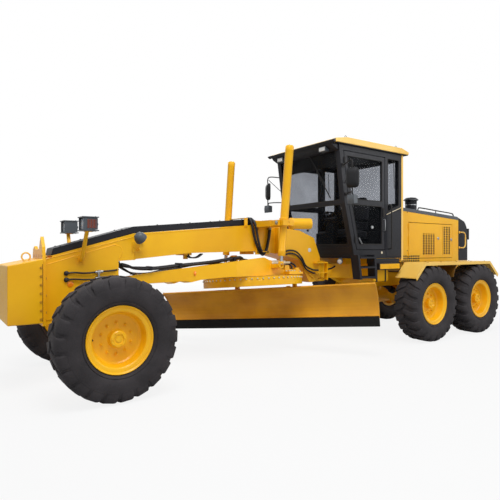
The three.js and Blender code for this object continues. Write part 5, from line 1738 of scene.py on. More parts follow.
def make_seat():
    """Cushions, suspension and armrests."""
    a, b = low("operator_seat"), high("operator_seat")
    x = ahead(-4.88)
    seat = cushion("seat_cushion", (x + 0.02, 0, a.z + 0.40), (0.50, 0.51, 0.13), math.radians(-4))
    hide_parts("operator_seat")
    back = cushion("seat_back", (x - 0.215, 0, a.z + 0.76), (0.60, 0.48, 0.12), math.radians(82.5))
    head = cushion("head_rest", (x - 0.275, 0, b.z - 0.06), (0.17, 0.28, 0.09), math.radians(82.5), 1)
    base = Builder()
    base.box((x - 0.19, -0.18, a.z), (x + 0.17, 0.18, a.z + 0.05))
    for i in range(6):
        z = a.z + 0.05 + i * 0.042
        grow = 0.012 if i % 2 else 0.0
        base.box((x - 0.16 - grow, -0.15 - grow, z), (x + 0.14 + grow, 0.15 + grow, z + 0.042))
    base.box((x - 0.21, -0.22, a.z + 0.302), (x + 0.25, 0.22, a.z + 0.335))
    for side in (1, -1):
        base.tube([
            (x - 0.22, side * 0.258, a.z + 0.40), (x - 0.22, side * 0.268, a.z + 0.60),
            (x - 0.16, side * 0.268, a.z + 0.625), (x + 0.10, side * 0.268, a.z + 0.63),
        ], 0.014, 10)
        base.box(
            (x - 0.17, side * 0.252 - 0.028, a.z + 0.63), (x + 0.15, side * 0.252 + 0.028, a.z + 0.665),
        )
    base.piece("seat_base", "rear_frame", TRIM, 0.006)


def make_steering_column(a, x):
    """Column, wheel and levers."""
    column = Builder()
    column.prism([
        (x - 0.05, a.z), (x + 0.09, a.z), (x + 0.05, a.z + 0.38), (x + 0.03, a.z + 0.60),
        (x - 0.10, a.z + 0.58), (x - 0.06, a.z + 0.36),
    ], -0.10, 0.10)
    column.prism(
        [(x + 0.03, a.z + 0.57), (x + 0.05, a.z + 0.66), (x - 0.01, a.z + 0.70), (x - 0.12, a.z + 0.60)],
        -0.14, 0.14,
    )
    tilt = Vector((-0.45, 0, 0.89)).normalized()
    centre = Vector((x - 0.06, 0, a.z + 0.70))
    column.rod(centre - tilt * 0.13, centre, 0.030, 20)
    column.lathe([(0, -0.012), (0.045, -0.012), (0.05, 0.0), (0.04, 0.014), (0, 0.018)], centre, tilt, 28)
    side_way = Vector((0, 1, 0))
    up = tilt.cross(side_way)
    for k in range(3):
        angle = math.tau * k / 3 + math.pi / 2
        reach = side_way * math.cos(angle) + up * math.sin(angle)
        column.rod(centre + reach * 0.04, centre + reach * 0.185, 0.010, 10)
    loop = [
        centre + (side_way * math.cos(t) + up * math.sin(t)) * 0.188
        for t in (math.tau * k / 40 for k in range(40))
    ]
    ring_tube(column, loop, 0.014, 12)
    for side in (1, -1):
        for i in range(5):
            foot = Vector((x - 0.01 - 0.022 * i, side * (0.145 + 0.004 * i), a.z + 0.62))
            column.rod(foot, foot + Vector((-0.02, side * 0.035, 0.16)), 0.005, 8)
            column.lathe(
                [(0, -0.014), (0.012, -0.010), (0.015, 0.004), (0.010, 0.016), (0, 0.018)],
                foot + Vector((-0.021, side * 0.036, 0.165)), (0, 0, 1), 14,
            )
    obj = column.piece("steering_column", "rear_frame", TRIM, smooth=40)
    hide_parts("steering_console")


def make_pedals(a, x):
    pedals = Builder()
    for y in (-0.24, -0.12, 0.17):
        pedals.prism([
            (x + 0.16, a.z + 0.05), (x + 0.24, a.z + 0.13), (x + 0.23, a.z + 0.14),
            (x + 0.15, a.z + 0.06),
        ], y - 0.035, y + 0.035)
        pedals.rod((x + 0.20, y, a.z + 0.09), (x + 0.235, y, a.z), 0.009, 10)
    pedals.piece("pedals", "rear_frame", IRON, 0.003)


def make_floor_mat(a):
    mat = Builder()
    mat.box_ahead((-5.28, -0.74, a.z - 0.001), (-4.18, 0.74, a.z + 0.006))
    for i in range(18):
        mat.box_ahead((-5.24 + 0.06 * i, -0.70, a.z + 0.006), (-5.215 + 0.06 * i, 0.70, a.z + 0.010))
    mat.piece("floor_mat", "rear_frame", RUBBER, slot="black_hose", smooth=20)


def make_side_console(a):
    """Box beside the seat with its levers."""
    side_box = Builder()
    side_box.box_ahead((-5.20, -0.66, a.z + 0.006), (-4.62, -0.34, a.z + 0.42))
    side_box.prism(
        from_axle([(-5.18, a.z + 0.42), (-4.64, a.z + 0.42), (-4.70, a.z + 0.46), (-5.18, a.z + 0.50)]),
        -0.64, -0.36,
    )
    for i in range(3):
        side_box.rod(
            (ahead(-4.85 - 0.09 * i), -0.50, a.z + 0.45), (ahead(-4.86 - 0.09 * i), -0.50, a.z + 0.56),
            0.007, 8,
        )
        side_box.lathe(
            [(0, -0.016), (0.016, -0.008), (0.018, 0.006), (0, 0.018)],
            (ahead(-4.86 - 0.09 * i), -0.50, a.z + 0.57), (0, 0, 1), 14,
        )
    side_box.piece("side_console", "rear_frame", TRIM, 0.006)


def make_console():
    """Steering column with wheel and levers, pedals, mat and side box."""
    a = low("steering_console")
    x = ahead(-4.37)
    make_steering_column(a, x)
    make_pedals(a, x)
    make_floor_mat(a)
    make_side_console(a)


def make_mirror_arms(side_name, side, node, x, y):
    """Arms, head and glass of a mirror."""
    arms = Builder()
    for z in (3.01, 2.54):
        foot = Vector((cab_front(z, 0.045), side * (CAB_HALF + 0.002), z))
        arms.box(foot - Vector((0.03, 0, 0.03)), foot + Vector((0.03, side * 0.012, 0.03)))
    arms.tube([
        (cab_front(3.01, 0.045), side * 0.81, 3.01), (x - 0.02, y - side * 0.06, 3.045), (x, y, 3.01),
        (x, y, 2.90),
    ], 0.010, 10)
    arms.rod((x, y, 2.95), (x, y, 2.46), 0.010, 10)
    arms.tube(
        [(cab_front(2.54, 0.045), side * 0.81, 2.54), (x - 0.05, y - side * 0.12, 2.545), (x, y, 2.54)],
        0.010, 10,
    )
    arms.rod((cab_front(2.72, 0.045), side * 0.80, 2.72), (x - 0.004, y - side * 0.02, 2.99), 0.006, 8)
    frame_piece = arms.piece(f"mirror_arms_{side_name}", "rear_frame", SHADE, smooth=45)
    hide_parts(node)
    turn = Matrix.Translation((x, y, 2.765)) @ Matrix.Rotation(side * math.radians(24), 4, "Z")
    shell = Builder(turn)
    n = 40
    outline = []
    for k in range(n):
        t = math.tau * k / n
        c, s = math.cos(t), math.sin(t)
        outline.append((0.104 * math.copysign(abs(c) ** 0.45, c), 0.160 * math.copysign(abs(s) ** 0.45, s)))
    stations = [(-0.030, 1.0), (0.0, 0.99), (0.020, 0.90), (0.034, 0.70), (0.040, 0.40)]
    rings = []
    for along, grow in stations:
        rings.append([shell.bm.verts.new(turn @ Vector((along, u * grow, v * grow))) for u, v in outline])
    for r0, r1 in zip(rings, rings[1:]):
        for k in range(n):
            j = (k + 1) % n
            shell.bm.faces.new((r0[k], r0[j], r1[j], r1[k]))
    shell.bm.faces.new(rings[0][::-1])
    shell.bm.faces.new(rings[-1])
    shell.piece(f"mirror_head_{side_name}", "rear_frame", TRIM, smooth=40)
    face = Builder(turn)
    face.prism([(u * 0.9, v * 0.94) for u, v in outline], -0.033, -0.0302, "x")
    face.piece(f"mirror_glass_{side_name}", "rear_frame", MIRROR, smooth=20)


def make_arm_lamp(side_name, side, x, y):
    lamp = Builder()
    lamp.prism(
        [(x - 0.05, 2.365), (x + 0.03, 2.355), (x + 0.04, 2.43), (x + 0.03, 2.495), (x - 0.05, 2.485)],
        side * 1.01, side * 1.15,
    )
    lamp.rod((x - 0.01, y, 2.47), (x - 0.01, y, 2.54), 0.012, 10)
    lamp.piece(f"arm_lamp_{side_name}", "rear_frame", LAMP_GREY, 0.010)


def make_arm_lamp_lens(side_name, side, x):
    lens = Builder()
    lens.prism([(x + 0.032, 2.372), (x + 0.046, 2.43), (x + 0.032, 2.480)], side * 1.025, side * 1.135)
    lens.piece(f"arm_lamp_lens_{side_name}", "rear_frame", LAMP_GREY, 0.003, slot="lamp_glass")


def make_mirror(side_name, side):
    """Arms, head and glass of a mirror, and the small lamp on its arm."""
    node = f"mirror_{side_name}"
    x, y = ahead(-3.74), side * 1.085
    make_mirror_arms(side_name, side, node, x, y)
    make_arm_lamp(side_name, side, x, y)
    make_arm_lamp_lens(side_name, side, x)


# ---- hood and rear ----
HOOD_TOP = [(-5.64, 2.44), (-7.60, 2.33), (-7.85, 2.25), (-7.98, 2.05)]
HOOD_HALF = (high("hood_shell").y - low("hood_shell").y) / 2


def hood_top(distance):
    """Height of the hood's top that many metres ahead of the front axle."""
    for (d0, z0), (d1, z1) in zip(HOOD_TOP, HOOD_TOP[1:]):
        if distance >= d1:
            return z0 + (z1 - z0) * (distance - d0) / (d1 - d0)
    return HOOD_TOP[-1][1]


def punched_panel(bars, shade_sheet, side, x0, x1, z0, z1, columns, rows, face, deep):
    """A panel of square holes: bars between the holes in front of a dark sheet, painted shade that stands
    for the unlit inside behind the holes.
    """
    y0, y1 = side * (face - deep), side * (face - deep + 0.0015)
    shade_sheet.box((x0, y0, z0), (x1, y1, z1))
    y0, y1 = side * (face - 0.006), side * (face + 0.001)
    bar = 0.27
    wide = (x1 - x0) / (columns + bar)
    for k in range(columns + 1):
        x = x0 + k * wide
        bars.box((x, y0, z0), (x + wide * bar, y1, z1))
    tall = (z1 - z0) / (rows + bar)
    for k in range(rows + 1):
        z = z0 + k * tall
        bars.box((x0, y0 + side * 0.0004, z), (x1, y1 + side * 0.0004, z + tall * bar))


def make_louvre_bars(side_name, side, panel):
    bars, shade_sheet = Builder(), Builder()
    punched_panel(bars, shade_sheet, side, ahead(-6.79), ahead(-6.34), 1.53, 1.995, 5, 9, HOOD_HALF, 0.008)
    punched_panel(bars, shade_sheet, side, ahead(-7.34), ahead(-7.05), 1.535, 2.135, 3, 12, HOOD_HALF, 0.008)
    bars.piece(f"louvre_bars_{side_name}", panel, YELLOW)
    # the dark sheet behind the holes is painted shade for the unlit inside
    shade_sheet.piece(f"louvre_shade_sheet_{side_name}", panel, SHADE)


def make_door_latches(side_name, side, panel):
    fittings = Builder()
    for d, z in ((-6.88, 1.87), (-7.352, 1.85)):
        spot = Vector((ahead(d), side * (HOOD_HALF + 0.0005), z))
        fittings.cap(spot, (0, side, 0), 0.030, 0.005, 0.024, 0.008, 24)
        fittings.box(
            (spot.x - 0.020, spot.y + side * 0.008, z - 0.006),
            (spot.x + 0.020, spot.y + side * 0.018, z + 0.006),
        )
    fittings.piece(f"door_latches_{side_name}", panel, STEEL, smooth=35)


def make_hood_hinges(side_name, side):
    hinges = Builder()
    for z0, z1 in ((2.03, 2.13), (1.72, 1.90), (1.50, 1.60)):
        knuckle_y = side * (HOOD_HALF + 0.009)
        hinges.rod((ahead(-5.900), knuckle_y, z0), (ahead(-5.900), knuckle_y, z1), 0.007, 14)
        y0, y1 = side * HOOD_HALF, side * (HOOD_HALF + 0.003)
        hinges.box_ahead((-5.930, y0, z0 + 0.01), (-5.90, y1, z1 - 0.01))
        hinges.box_ahead((-5.895, y0, z0 + 0.01), (-5.870, y1, z1 - 0.01))
    hinges.piece(f"hood_hinges_{side_name}", "rear_frame", YELLOW, smooth=35)


def make_hood_holes(side_name, side):
    # dark patches flush on the panel where its holes are: painted shade for the unlit inside of the holes
    holes = Builder()
    y0, y1 = side * (HOOD_HALF - 0.001), side * (HOOD_HALF + 0.0012)
    for column in range(10):
        for row in range(3):
            x = ahead(-5.685 - 0.058 * column)
            z = 1.425 + 0.044 * row
            holes.box((x - 0.038, y0, z - 0.019), (x, y1, z + 0.013))
    holes.box_ahead((-5.715, y0, 1.60), (-5.685, y1, 1.608))
    holes.piece(f"hood_holes_{side_name}", "rear_frame", SHADE)


def make_hood_bolts(side_name, side):
    strip = Builder()
    for d in (-5.675, -5.865):
        for z in (1.62, 2.36):
            strip.bolt((ahead(d), side * HOOD_HALF, z), (0, side, 0), 0.010, 0.008)
    for d in (-6.1, -6.5, -6.9, -7.3):
        strip.bolt((ahead(d), side * HOOD_HALF, hood_top(d) - 0.05), (0, side, 0), 0.009, 0.007)
    strip.piece(f"hood_bolts_{side_name}", "rear_frame", BOLT, smooth=25)


def make_hood_side(side_name, side):
    panel = f"side_panel_{side_name}"
    make_louvre_bars(side_name, side, panel)
    make_door_latches(side_name, side, panel)
    make_hood_hinges(side_name, side)
    make_hood_holes(side_name, side)
    make_hood_bolts(side_name, side)


def make_hood_cover():
    cover = Builder()
    steps = [(-5.66, 0.006), (-6.6, 0.012), (-7.56, 0.012), (-7.62, 0.006)]
    upper = [(ahead(d), hood_top(d) + lift) for d, lift in steps]
    lower = [(ahead(d), hood_top(d) - 0.060) for d, _ in reversed(steps)]
    cover.prism(upper + lower, -HOOD_HALF - 0.003, HOOD_HALF + 0.003)
    cover.piece("hood_cover", "rear_frame", LAMP_GREY, 0.006, slot="dark_paint")


def make_rear_hood_cap():
    corner = Builder()
    grow = 0.004
    corner.prism([
        (ahead(-7.62), 1.405), (ahead(-7.62), hood_top(-7.62) + grow), (ahead(-7.85), 2.25 + grow),
        (ahead(-7.90), 2.21), (ahead(-7.945), 2.14), (ahead(-7.98) - grow, 2.05),
        (ahead(-7.98) - grow, 1.405),
    ], -HOOD_HALF - grow, HOOD_HALF + grow)
    corner.piece("rear_hood_cap", "rear_frame", BLACK, 0.012)


def make_hood_rails():
    rails = Builder()
    for side in (1, -1):
        y = side * 0.47
        rails.tube(from_axle([
            (-6.30, y, hood_top(-6.30)), (-6.33, y, hood_top(-6.33) + 0.06),
            (-6.42, y, hood_top(-6.42) + 0.078), (-7.0, y, hood_top(-7.0) + 0.078),
            (-7.46, y, hood_top(-7.46) + 0.078), (-7.55, y, hood_top(-7.55) + 0.06),
            (-7.57, y, hood_top(-7.57)),
        ]), 0.012, 12)
        rails.rod((ahead(-6.92), y, hood_top(-6.92)), (ahead(-6.92), y, hood_top(-6.92) + 0.078), 0.009, 12)
    rails.piece("hood_rails", "rear_frame", SHADE, slot="dark_paint", smooth=50)


def make_grab_loops():
    loops = Builder()
    for side in (1, -1):
        y = side * (HOOD_HALF + 0.004)
        loops.tube(from_axle([
            (-7.66, y, 2.01), (-7.67, y + side * 0.045, 2.01), (-7.74, y + side * 0.05, 2.008),
            (-7.80, y + side * 0.05, 1.96), (-7.81, y + side * 0.05, 1.85),
            (-7.80, y + side * 0.05, 1.73), (-7.74, y + side * 0.05, 1.682),
            (-7.67, y + side * 0.045, 1.68), (-7.66, y, 1.68),
        ]), 0.013, 12)
        for z in (2.01, 1.68):
            loops.lathe(
                [(0, 0), (0.026, 0), (0.026, 0.006), (0, 0.007)], (ahead(-7.66), y, z), (0, side, 0), 20,
            )
    # the lighter yellow on the grab loops is a painted highlight
    loops.piece("grab_loops", "rear_frame", LIT_YELLOW, smooth=50)


def make_hood_top():
    make_hood_cover()
    make_rear_hood_cap()
    make_hood_rails()
    make_grab_loops()


def make_intake_cap(node, b, x, y):
    stack = Builder()
    z = hood_top(-6.40)
    stack.lathe([
        (0, z - 0.02), (0.114, z - 0.02), (0.114, 2.55), (0.117, 2.553), (0.117, 2.565), (0.112, 2.57),
        (0.112, 2.657), (0.140, 2.659), (0.147, 2.663), (0.147, 2.669), (0.143, 2.673), (0.100, 2.707),
        (0.05, b.z + 0.024), (0, b.z + 0.032),
    ], (x, y, 0), (0, 0, 1), 64)
    stack.prism(
        from_axle(
            [
                (-6.33, hood_top(-6.33) - 0.002), (-6.33, hood_top(-6.33) + 0.05),
                (-6.36, hood_top(-6.33) + 0.058), (-6.65, hood_top(-6.65) + 0.058),
                (-6.68, hood_top(-6.68) + 0.05), (-6.68, hood_top(-6.68) - 0.002),
            ]
        ),
        0.02, 0.33,
    )
    obj = stack.piece("intake_cap", "rear_frame", BLACK, smooth=32)
    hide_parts(node)


def make_intake_screen(x, y):
    slots = Builder()
    for slot_x, slot_y, bottom in around((x, y, 2.575), "xy", 0.1125, 28):
        slots.rod((slot_x, slot_y, bottom), (slot_x, slot_y, 2.653), 0.004, 6)
    slots.piece("intake_screen", "rear_frame", TRIM, smooth=40)


def make_intake_bands(x, y):
    band = Builder()
    band.lathe(
        [(0.1165, 2.55), (0.119, 2.552), (0.119, 2.566), (0.1165, 2.568)], (x, y, 0), (0, 0, 1), 64,
        closed=True,
    )
    band.lathe(
        [(0.130, 2.651), (0.1475, 2.653), (0.1490, 2.661), (0.1440, 2.663), (0.1380, 2.6585)],
        (x, y, 0), (0, 0, 1), 64, closed=True,
    )
    band.piece("intake_bands", "rear_frame", STEEL, smooth=40)


def make_exhaust_pipe():
    """Open pipe behind the intake."""
    pipe = Builder()
    px, py, pz = ahead(-7.05), -0.22, hood_top(-7.05)
    pipe.lathe([
        (0, pz - 0.01), (0.085, pz - 0.01), (0.085, pz + 0.012), (0.055, pz + 0.02), (0.052, pz + 0.03),
        (0.052, pz + 0.25), (0.046, pz + 0.25), (0.044, pz + 0.14), (0, pz + 0.14),
    ], (px, py, 0), (0, 0, 1), 40)
    pipe.piece("exhaust_pipe", "rear_frame", IRON, smooth=35)


def make_intake():
    node = "intake_stack"
    b = high(node)
    x, y = ahead(-6.50), 0.175
    make_intake_cap(node, b, x, y)
    make_intake_screen(x, y)
    make_intake_bands(x, y)
    make_exhaust_pipe()


def make_grille_frame(x):
    """Frame and slats of the rear grille."""
    frame_bars, grille = Builder(), Builder()
    for z in (1.47, 2.02):
        frame_bars.box((x - 0.022, -0.45, z), (x, 0.45, z + 0.028))
    for y in (-0.45, 0.424):
        frame_bars.box((x - 0.022, y, 1.47), (x, y + 0.026, 2.048))
    frame_bars.piece("grille_frame", "rear_frame", BLACK, 0.003)
    for k in range(17):
        z = 1.505 + k * 0.030
        grille.prism(
            [(x - 0.018, z), (x - 0.002, z + 0.012), (x - 0.002, z + 0.016), (x - 0.020, z + 0.005)],
            -0.428, 0.428,
        )
    for k in range(4):
        y = -0.26 + 0.173 * k
        grille.box((x - 0.016, y - 0.006, 1.49), (x - 0.001, y + 0.006, 2.03))
    grille.piece("rear_grille", "rear_frame", SHADE)


def make_tail_lamp_boxes(x):
    lamps, lenses, reds = Builder(), Builder(), Builder()
    for side in (1, -1):
        y0, y1 = sorted((side * 0.46, side * 0.556))
        lamps.box((x - 0.06, y0, 1.86), (x + 0.002, y1, 2.10))
        reds.box((x - 0.066, y0 + 0.010, 1.87), (x - 0.058, y1 - 0.010, 1.965))
        lenses.box((x - 0.066, y0 + 0.010, 1.975), (x - 0.058, y1 - 0.010, 2.09))
    lamps.piece("tail_lamp_boxes", "rear_frame", TRIM, 0.006)
    lenses.piece("tail_lamp_lenses", "rear_frame", LAMP, 0.003)
    reds.piece("tail_lamp_reds", "rear_frame", ORANGE, 0.003)


def make_tow_hitch():
    """Plate, jaw and pin of the tow hitch, with its bolts."""
    hitch = Builder()
    rear = low("rear_frame").x
    hitch.box((rear - 0.012, -0.26, 1.00), (rear + 0.01, 0.26, 1.36))
    for z in (1.08, 1.20):
        hitch.prism(
            [(rear, -0.09), (rear, 0.09), (rear - 0.07, 0.06), (rear - 0.09, 0.0), (rear - 0.07, -0.06)], z,
            z + 0.03, "z",
        )
    hitch.rod((rear - 0.045, 0, 1.05), (rear - 0.045, 0, 1.27), 0.018, 18)
    hitch.piece("tow_hitch", "rear_frame", YELLOW, 0.004)
    bolts = Builder()
    for side in (1, -1):
        for z in (1.05, 1.18, 1.31):
            bolts.bolt((rear - 0.012, side * 0.21, z), (-1, 0, 0), 0.015, 0.014)
    bolts.piece("hitch_bolts", "rear_frame", BOLT, smooth=25)


def make_rear_end():
    x = low("hood_shell").x - 0.004
    make_grille_frame(x)
    make_tail_lamp_boxes(x)
    make_tow_hitch()


# ---- fenders, steps and running gear ----
def make_fender_lip(side_name, side, body, top, inner, outer):
    """Lip, flaps and guard of a fender."""
    lips = Builder()
    path = from_axle([(-5.13, 1.16), (-5.40, top), (-7.58, top), (-7.90, 1.14)])
    outline = path + [
        (x + dx, z - 0.055) for (x, z), dx in zip(reversed(path), (0.03, 0.018, -0.018, -0.03))
    ]
    lips.prism(outline, side * (outer - 0.010), side * (outer + 0.002))
    # the lighter yellow on the fender lip is a painted highlight
    lips.piece(f"fender_lip_{side_name}", body, LIT_YELLOW, 0.003)
    flaps = Builder()
    for d in (-5.75, -6.45, -7.20):
        flaps.box(
            (ahead(d) - 0.02, side * (inner + 0.01), top - 0.055),
            (ahead(d) + 0.02, side * (outer - 0.02), top - 0.020),
        )
    flaps.piece(f"fender_flaps_{side_name}", body, YELLOW, 0.003)
    # the guard between the wheels is coloured in the darker shaded yellow: painted shade
    guard = Builder()
    curve = [
        (-6.48, top - 0.022), (-6.40, top - 0.048), (-6.34, top - 0.12), (-6.30, top - 0.21),
        (-6.285, top - 0.28),
    ]
    outline = [(ahead(d), z) for d, z in curve] + [
        (ahead(d) - 0.010, z - 0.006) for d, z in reversed(curve)
    ]
    guard.prism(outline, side * (inner + 0.03), side * (outer - 0.012))
    guard.piece(f"fender_guard_{side_name}", body, SHADED_YELLOW, 0.002)


def make_fender_bolts(side_name, side, body, top, inner, outer):
    """Bolts of a fender, and the round covers of the tandem box."""
    bolts = Builder()
    for d in (-5.55, -5.95, -6.45, -6.95, -7.45):
        for y in (inner + 0.05, outer - 0.05):
            bolts.bolt((ahead(d), side * y, top), (0, 0, 1), 0.011, 0.009)
    bolts.piece(f"fender_bolts_{side_name}", body, BOLT, smooth=25)
    tandem = f"tandem_box_{side_name}"
    plates = Builder()
    face = side * TANDEM_FACE
    for centre_x in (middle(f"tyre_middle_{side_name}").x, middle(f"tyre_rear_{side_name}").x):
        plates.lathe(
            [(0.11, 0), (0.165, 0), (0.165, 0.006), (0.158, 0.010), (0.11, 0.010)],
            (centre_x, face, TYRE_RADIUS), (0, side, 0), 48, closed=True,
        )
        for spot in around((centre_x, face + side * 0.010, TYRE_RADIUS), "xz", 0.143, 12):
            plates.bolt(spot, (0, side, 0), 0.010, 0.008)
    mid = middle(tandem).x
    plates.lathe(
        [(0.16, 0), (0.235, 0), (0.235, 0.006), (0.225, 0.009), (0.16, 0.009)],
        (mid, face - side * 0.002, REAR_AXLE_Z), (0, side, 0), 48, closed=True,
    )
    for spot in around((mid, face + side * 0.007, REAR_AXLE_Z), "xz", 0.20, 14):
        plates.bolt(spot, (0, side, 0), 0.011, 0.008)
    plates.piece(f"tandem_plates_{side_name}", body, YELLOW, smooth=28)


def make_fender_details(side_name, side):
    """Lips, flaps, guard and bolts of a fender, and the covers of its tandem box."""
    body = f"tandem_{side_name}"
    node = f"fender_{side_name}"
    top = high(node).z
    inner, outer = 0.832, 1.255
    make_fender_lip(side_name, side, body, top, inner, outer)
    make_fender_bolts(side_name, side, body, top, inner, outer)


def make_step_treads(side_name, side):
    treads = Builder()
    y0, y1 = sorted((side * (CAB_HALF + 0.022), side * (CAB_HALF + 0.178)))
    for z in (1.165, 1.33, 1.49):
        for i in range(11):
            x = ahead(-4.44 + 0.034 * i)
            treads.prism(
                [(x, z + 0.026), (x + 0.004, z + 0.034), (x + 0.010, z + 0.034), (x + 0.014, z + 0.026)],
                y0, y1,
            )
    treads.piece(f"step_treads_{side_name}", "rear_frame", TRIM)


def make_cab_grab_rail(side_name, side):
    rail = Builder()
    rail.tube(from_axle([
        (-4.985, side * (CAB_HALF + 0.006), 2.42), (-4.985, side * (CAB_HALF + 0.055), 2.41),
        (-4.99, side * (CAB_HALF + 0.062), 2.2), (-4.99, side * (CAB_HALF + 0.062), 1.72),
        (-4.985, side * (CAB_HALF + 0.055), 1.66), (-4.985, side * (CAB_HALF + 0.006), 1.65),
    ]), 0.012, 12)
    rail.piece(f"cab_grab_rail_{side_name}", "rear_frame", SHADE, slot="dark_paint", smooth=50)


def make_step_box_lid(side_name, side):
    lid = Builder()
    y = side * (CAB_HALF + 0.110)
    lid.box_ahead((-5.14, y, 1.305), (-4.62, y + side * 0.008, 1.392))
    lid.lathe(
        [(0, 0), (0.014, 0), (0.014, 0.012), (0, 0.012)], (ahead(-4.88), y + side * 0.008, 1.35),
        (0, side, 0), 16,
    )
    lid.piece(f"step_box_lid_{side_name}", "rear_frame", YELLOW, 0.003)


def make_step_details(side_name, side):
    make_step_treads(side_name, side)
    make_cab_grab_rail(side_name, side)
    make_step_box_lid(side_name, side)


def make_articulation_bolts():
    bolts = Builder()
    pivot = ahead(-3.95)
    for spot in around((pivot, 0, 1.44), "xy", 0.125, 8):
        bolts.bolt(spot, (0, 0, 1), 0.015, 0.015)
    bolts.piece("articulation_bolts", "front_frame", BOLT, smooth=25)
    caps = Builder()
    caps.cap((pivot, 0, 1.44), (0, 0, 1), 0.10, 0.010, 0.08, 0.016, 40)
    caps.piece("articulation_cap", "front_frame", YELLOW, smooth=30)


def make_under_cab_tanks():
    tanks = Builder()
    for side in (1, -1):
        tanks.box_ahead((-5.02, side * 0.45, 1.08), (-4.62, side * 0.77, 1.385))
    tanks.piece("under_cab_tanks", "rear_frame", YELLOW, 0.02, segments=3)


def make_tank_straps():
    straps = Builder()
    for side in (1, -1):
        for d in (-4.95, -4.72):
            straps.box((ahead(d), side * 0.445, 1.074), (ahead(d) + 0.035, side * 0.775, 1.391))
        straps.rod((ahead(-4.82), side * 0.70, 1.38), (ahead(-4.82), side * 0.70, 1.40), 0.04, 24)
    straps.piece("tank_straps", "rear_frame", IRON, 0.002)


def make_frame_pipes():
    """Hoses along the rear frame, drive shaft, axle housing and its bolted rings."""
    pipes = Builder()
    for side in (1, -1):
        for i in range(2):
            y = side * 0.455
            z = 1.30 - 0.05 * i
            pipes.tube(
                from_axle([(-5.06, y, z), (-5.6, y, z - 0.02), (-6.2, y, z - 0.02), (-6.9, y, z)]), 0.012,
                10,
            )
    pipes.tube(from_axle([(-4.30, 0.20, 1.36), (-4.15, 0.23, 1.31), (-4.02, 0.235, 1.29)]), 0.014, 10)
    pipes.tube(from_axle([(-4.30, -0.20, 1.36), (-4.15, -0.23, 1.31), (-4.02, -0.235, 1.29)]), 0.014, 10)
    pipes.piece("frame_pipes", "rear_frame", HOSE, smooth=50)
    shaft = Builder()
    shaft.rod((ahead(-5.35), 0, 1.16), (ahead(-6.15), 0, 0.80), 0.045, 24)
    for end, other in (((-5.35, 1.16), (-5.43, 1.124)), ((-6.15, 0.80), (-6.07, 0.836))):
        shaft.rod((ahead(end[0]), 0, end[1]), (ahead(other[0]), 0, other[1]), 0.07, 20)
    shaft.piece("drive_shaft", "rear_frame", IRON, smooth=35)
    axle = Builder()
    x, z = middle("rear_axle").x, REAR_AXLE_Z
    axle.lathe(
        [(0, -0.20), (0.10, -0.20), (0.20, -0.10), (0.225, 0.0), (0.20, 0.10), (0.10, 0.20), (0, 0.20)],
        (x, 0, z), (1, 0, 0), 40,
    )
    axle.piece("axle_housing", "rear_frame", YELLOW, smooth=40)
    rings = Builder()
    for side in (1, -1):
        rings.lathe(
            [(0.150, 0), (0.175, 0), (0.175, 0.03), (0.150, 0.03)], (x, side * 0.57, z), (0, side, 0), 40,
            closed=True,
        )
        for spot in around((x, side * 0.57, z), "xz", 0.162, 12):
            rings.bolt(spot, (0, -side, 0), 0.009, 0.010)
    rings.piece("axle_rings", "rear_frame", YELLOW, smooth=28)


def make_frame_details():
    """Articulation bolts, tanks, pipes, drive shaft and axle housing, under and behind the cab."""
    make_articulation_bolts()
    make_under_cab_tanks()
    make_tank_straps()
    make_frame_pipes()


def make_lean_pin_cap():
    """Bolted cap on the pin of each lean bracket."""
    for side_name, side in SIDES:
        plate = Builder()
        x, y = AXLE_X + 0.0945, side * LEAN_PIN_Y
        plate.cap((x, y, LEAN_PIN_Z), (1, 0, 0), 0.045, 0.008, 0.03, 0.014, 28)
        for spot in around((x + 0.008, y, LEAN_PIN_Z), "yz", 0.034, 4, 0.5):
            plate.bolt(spot, (1, 0, 0), 0.006, 0.007)
        plate.piece(f"lean_pin_cap_{side_name}", f"lean_{side_name}", STEEL, smooth=28)


def make_axle_pin_cap():
    """Bolted cap on the front axle's pin."""
    pin = Builder()
    pin.cap((AXLE_X + 0.165, 0, AXLE_PIN_Z), (1, 0, 0), 0.075, 0.010, 0.05, 0.018, 32)
    for spot in around((AXLE_X + 0.175, 0, AXLE_PIN_Z), "yz", 0.058, 6):
        pin.bolt(spot, (1, 0, 0), 0.009, 0.010)
    pin.piece("axle_pin_cap", "front_frame", YELLOW, smooth=28)


def make_front_axle_details():
    make_lean_pin_cap()
    make_axle_pin_cap()


make_work_lamp()
make_beam_trim()
make_front_hoses()
make_beam_loops()
make_hitch_brackets()
make_saddle_details()
make_circle_details()
make_drawbar_details()
make_blade_details()
make_cab_glass()
make_roof_details()
make_cab_details()
make_seat()
make_console()
make_hood_top()
make_intake()
make_rear_end()
make_frame_details()
make_front_axle_details()
for side_name, side in SIDES:
    make_headlamp(side_name, side)
    make_lift_cylinder(side_name, side)
    make_door_details(side_name, side)
    make_mirror(side_name, side)
    make_hood_side(side_name, side)
    make_fender_details(side_name, side)
    make_step_details(side_name, side)


# ---- camera, light and floor ----
CAMERA_PLACE = (5.167, 6.008, 1.631)
CAMERA_LOOK = (-0.5748, -0.8183, 0)
FOCAL_LENGTH = 32.93
SENSOR_WIDTH = 36
FLOOR_HALF = 60
FADE_START = 6.0
FADE_END = 15.0


def add_camera():
    """A level camera at the photograph's place and angle of view."""
    data = bpy.data.cameras.new("camera")
    camera = bpy.data.objects.new("camera", data)
    bpy.context.scene.collection.objects.link(camera)
    camera.location = CAMERA_PLACE
    camera.rotation_euler = Vector(CAMERA_LOOK).to_track_quat("-Z", "Y").to_euler()
    data.lens = FOCAL_LENGTH
    data.sensor_width = SENSOR_WIDTH
    data.clip_end = 200
    bpy.context.scene.camera = camera


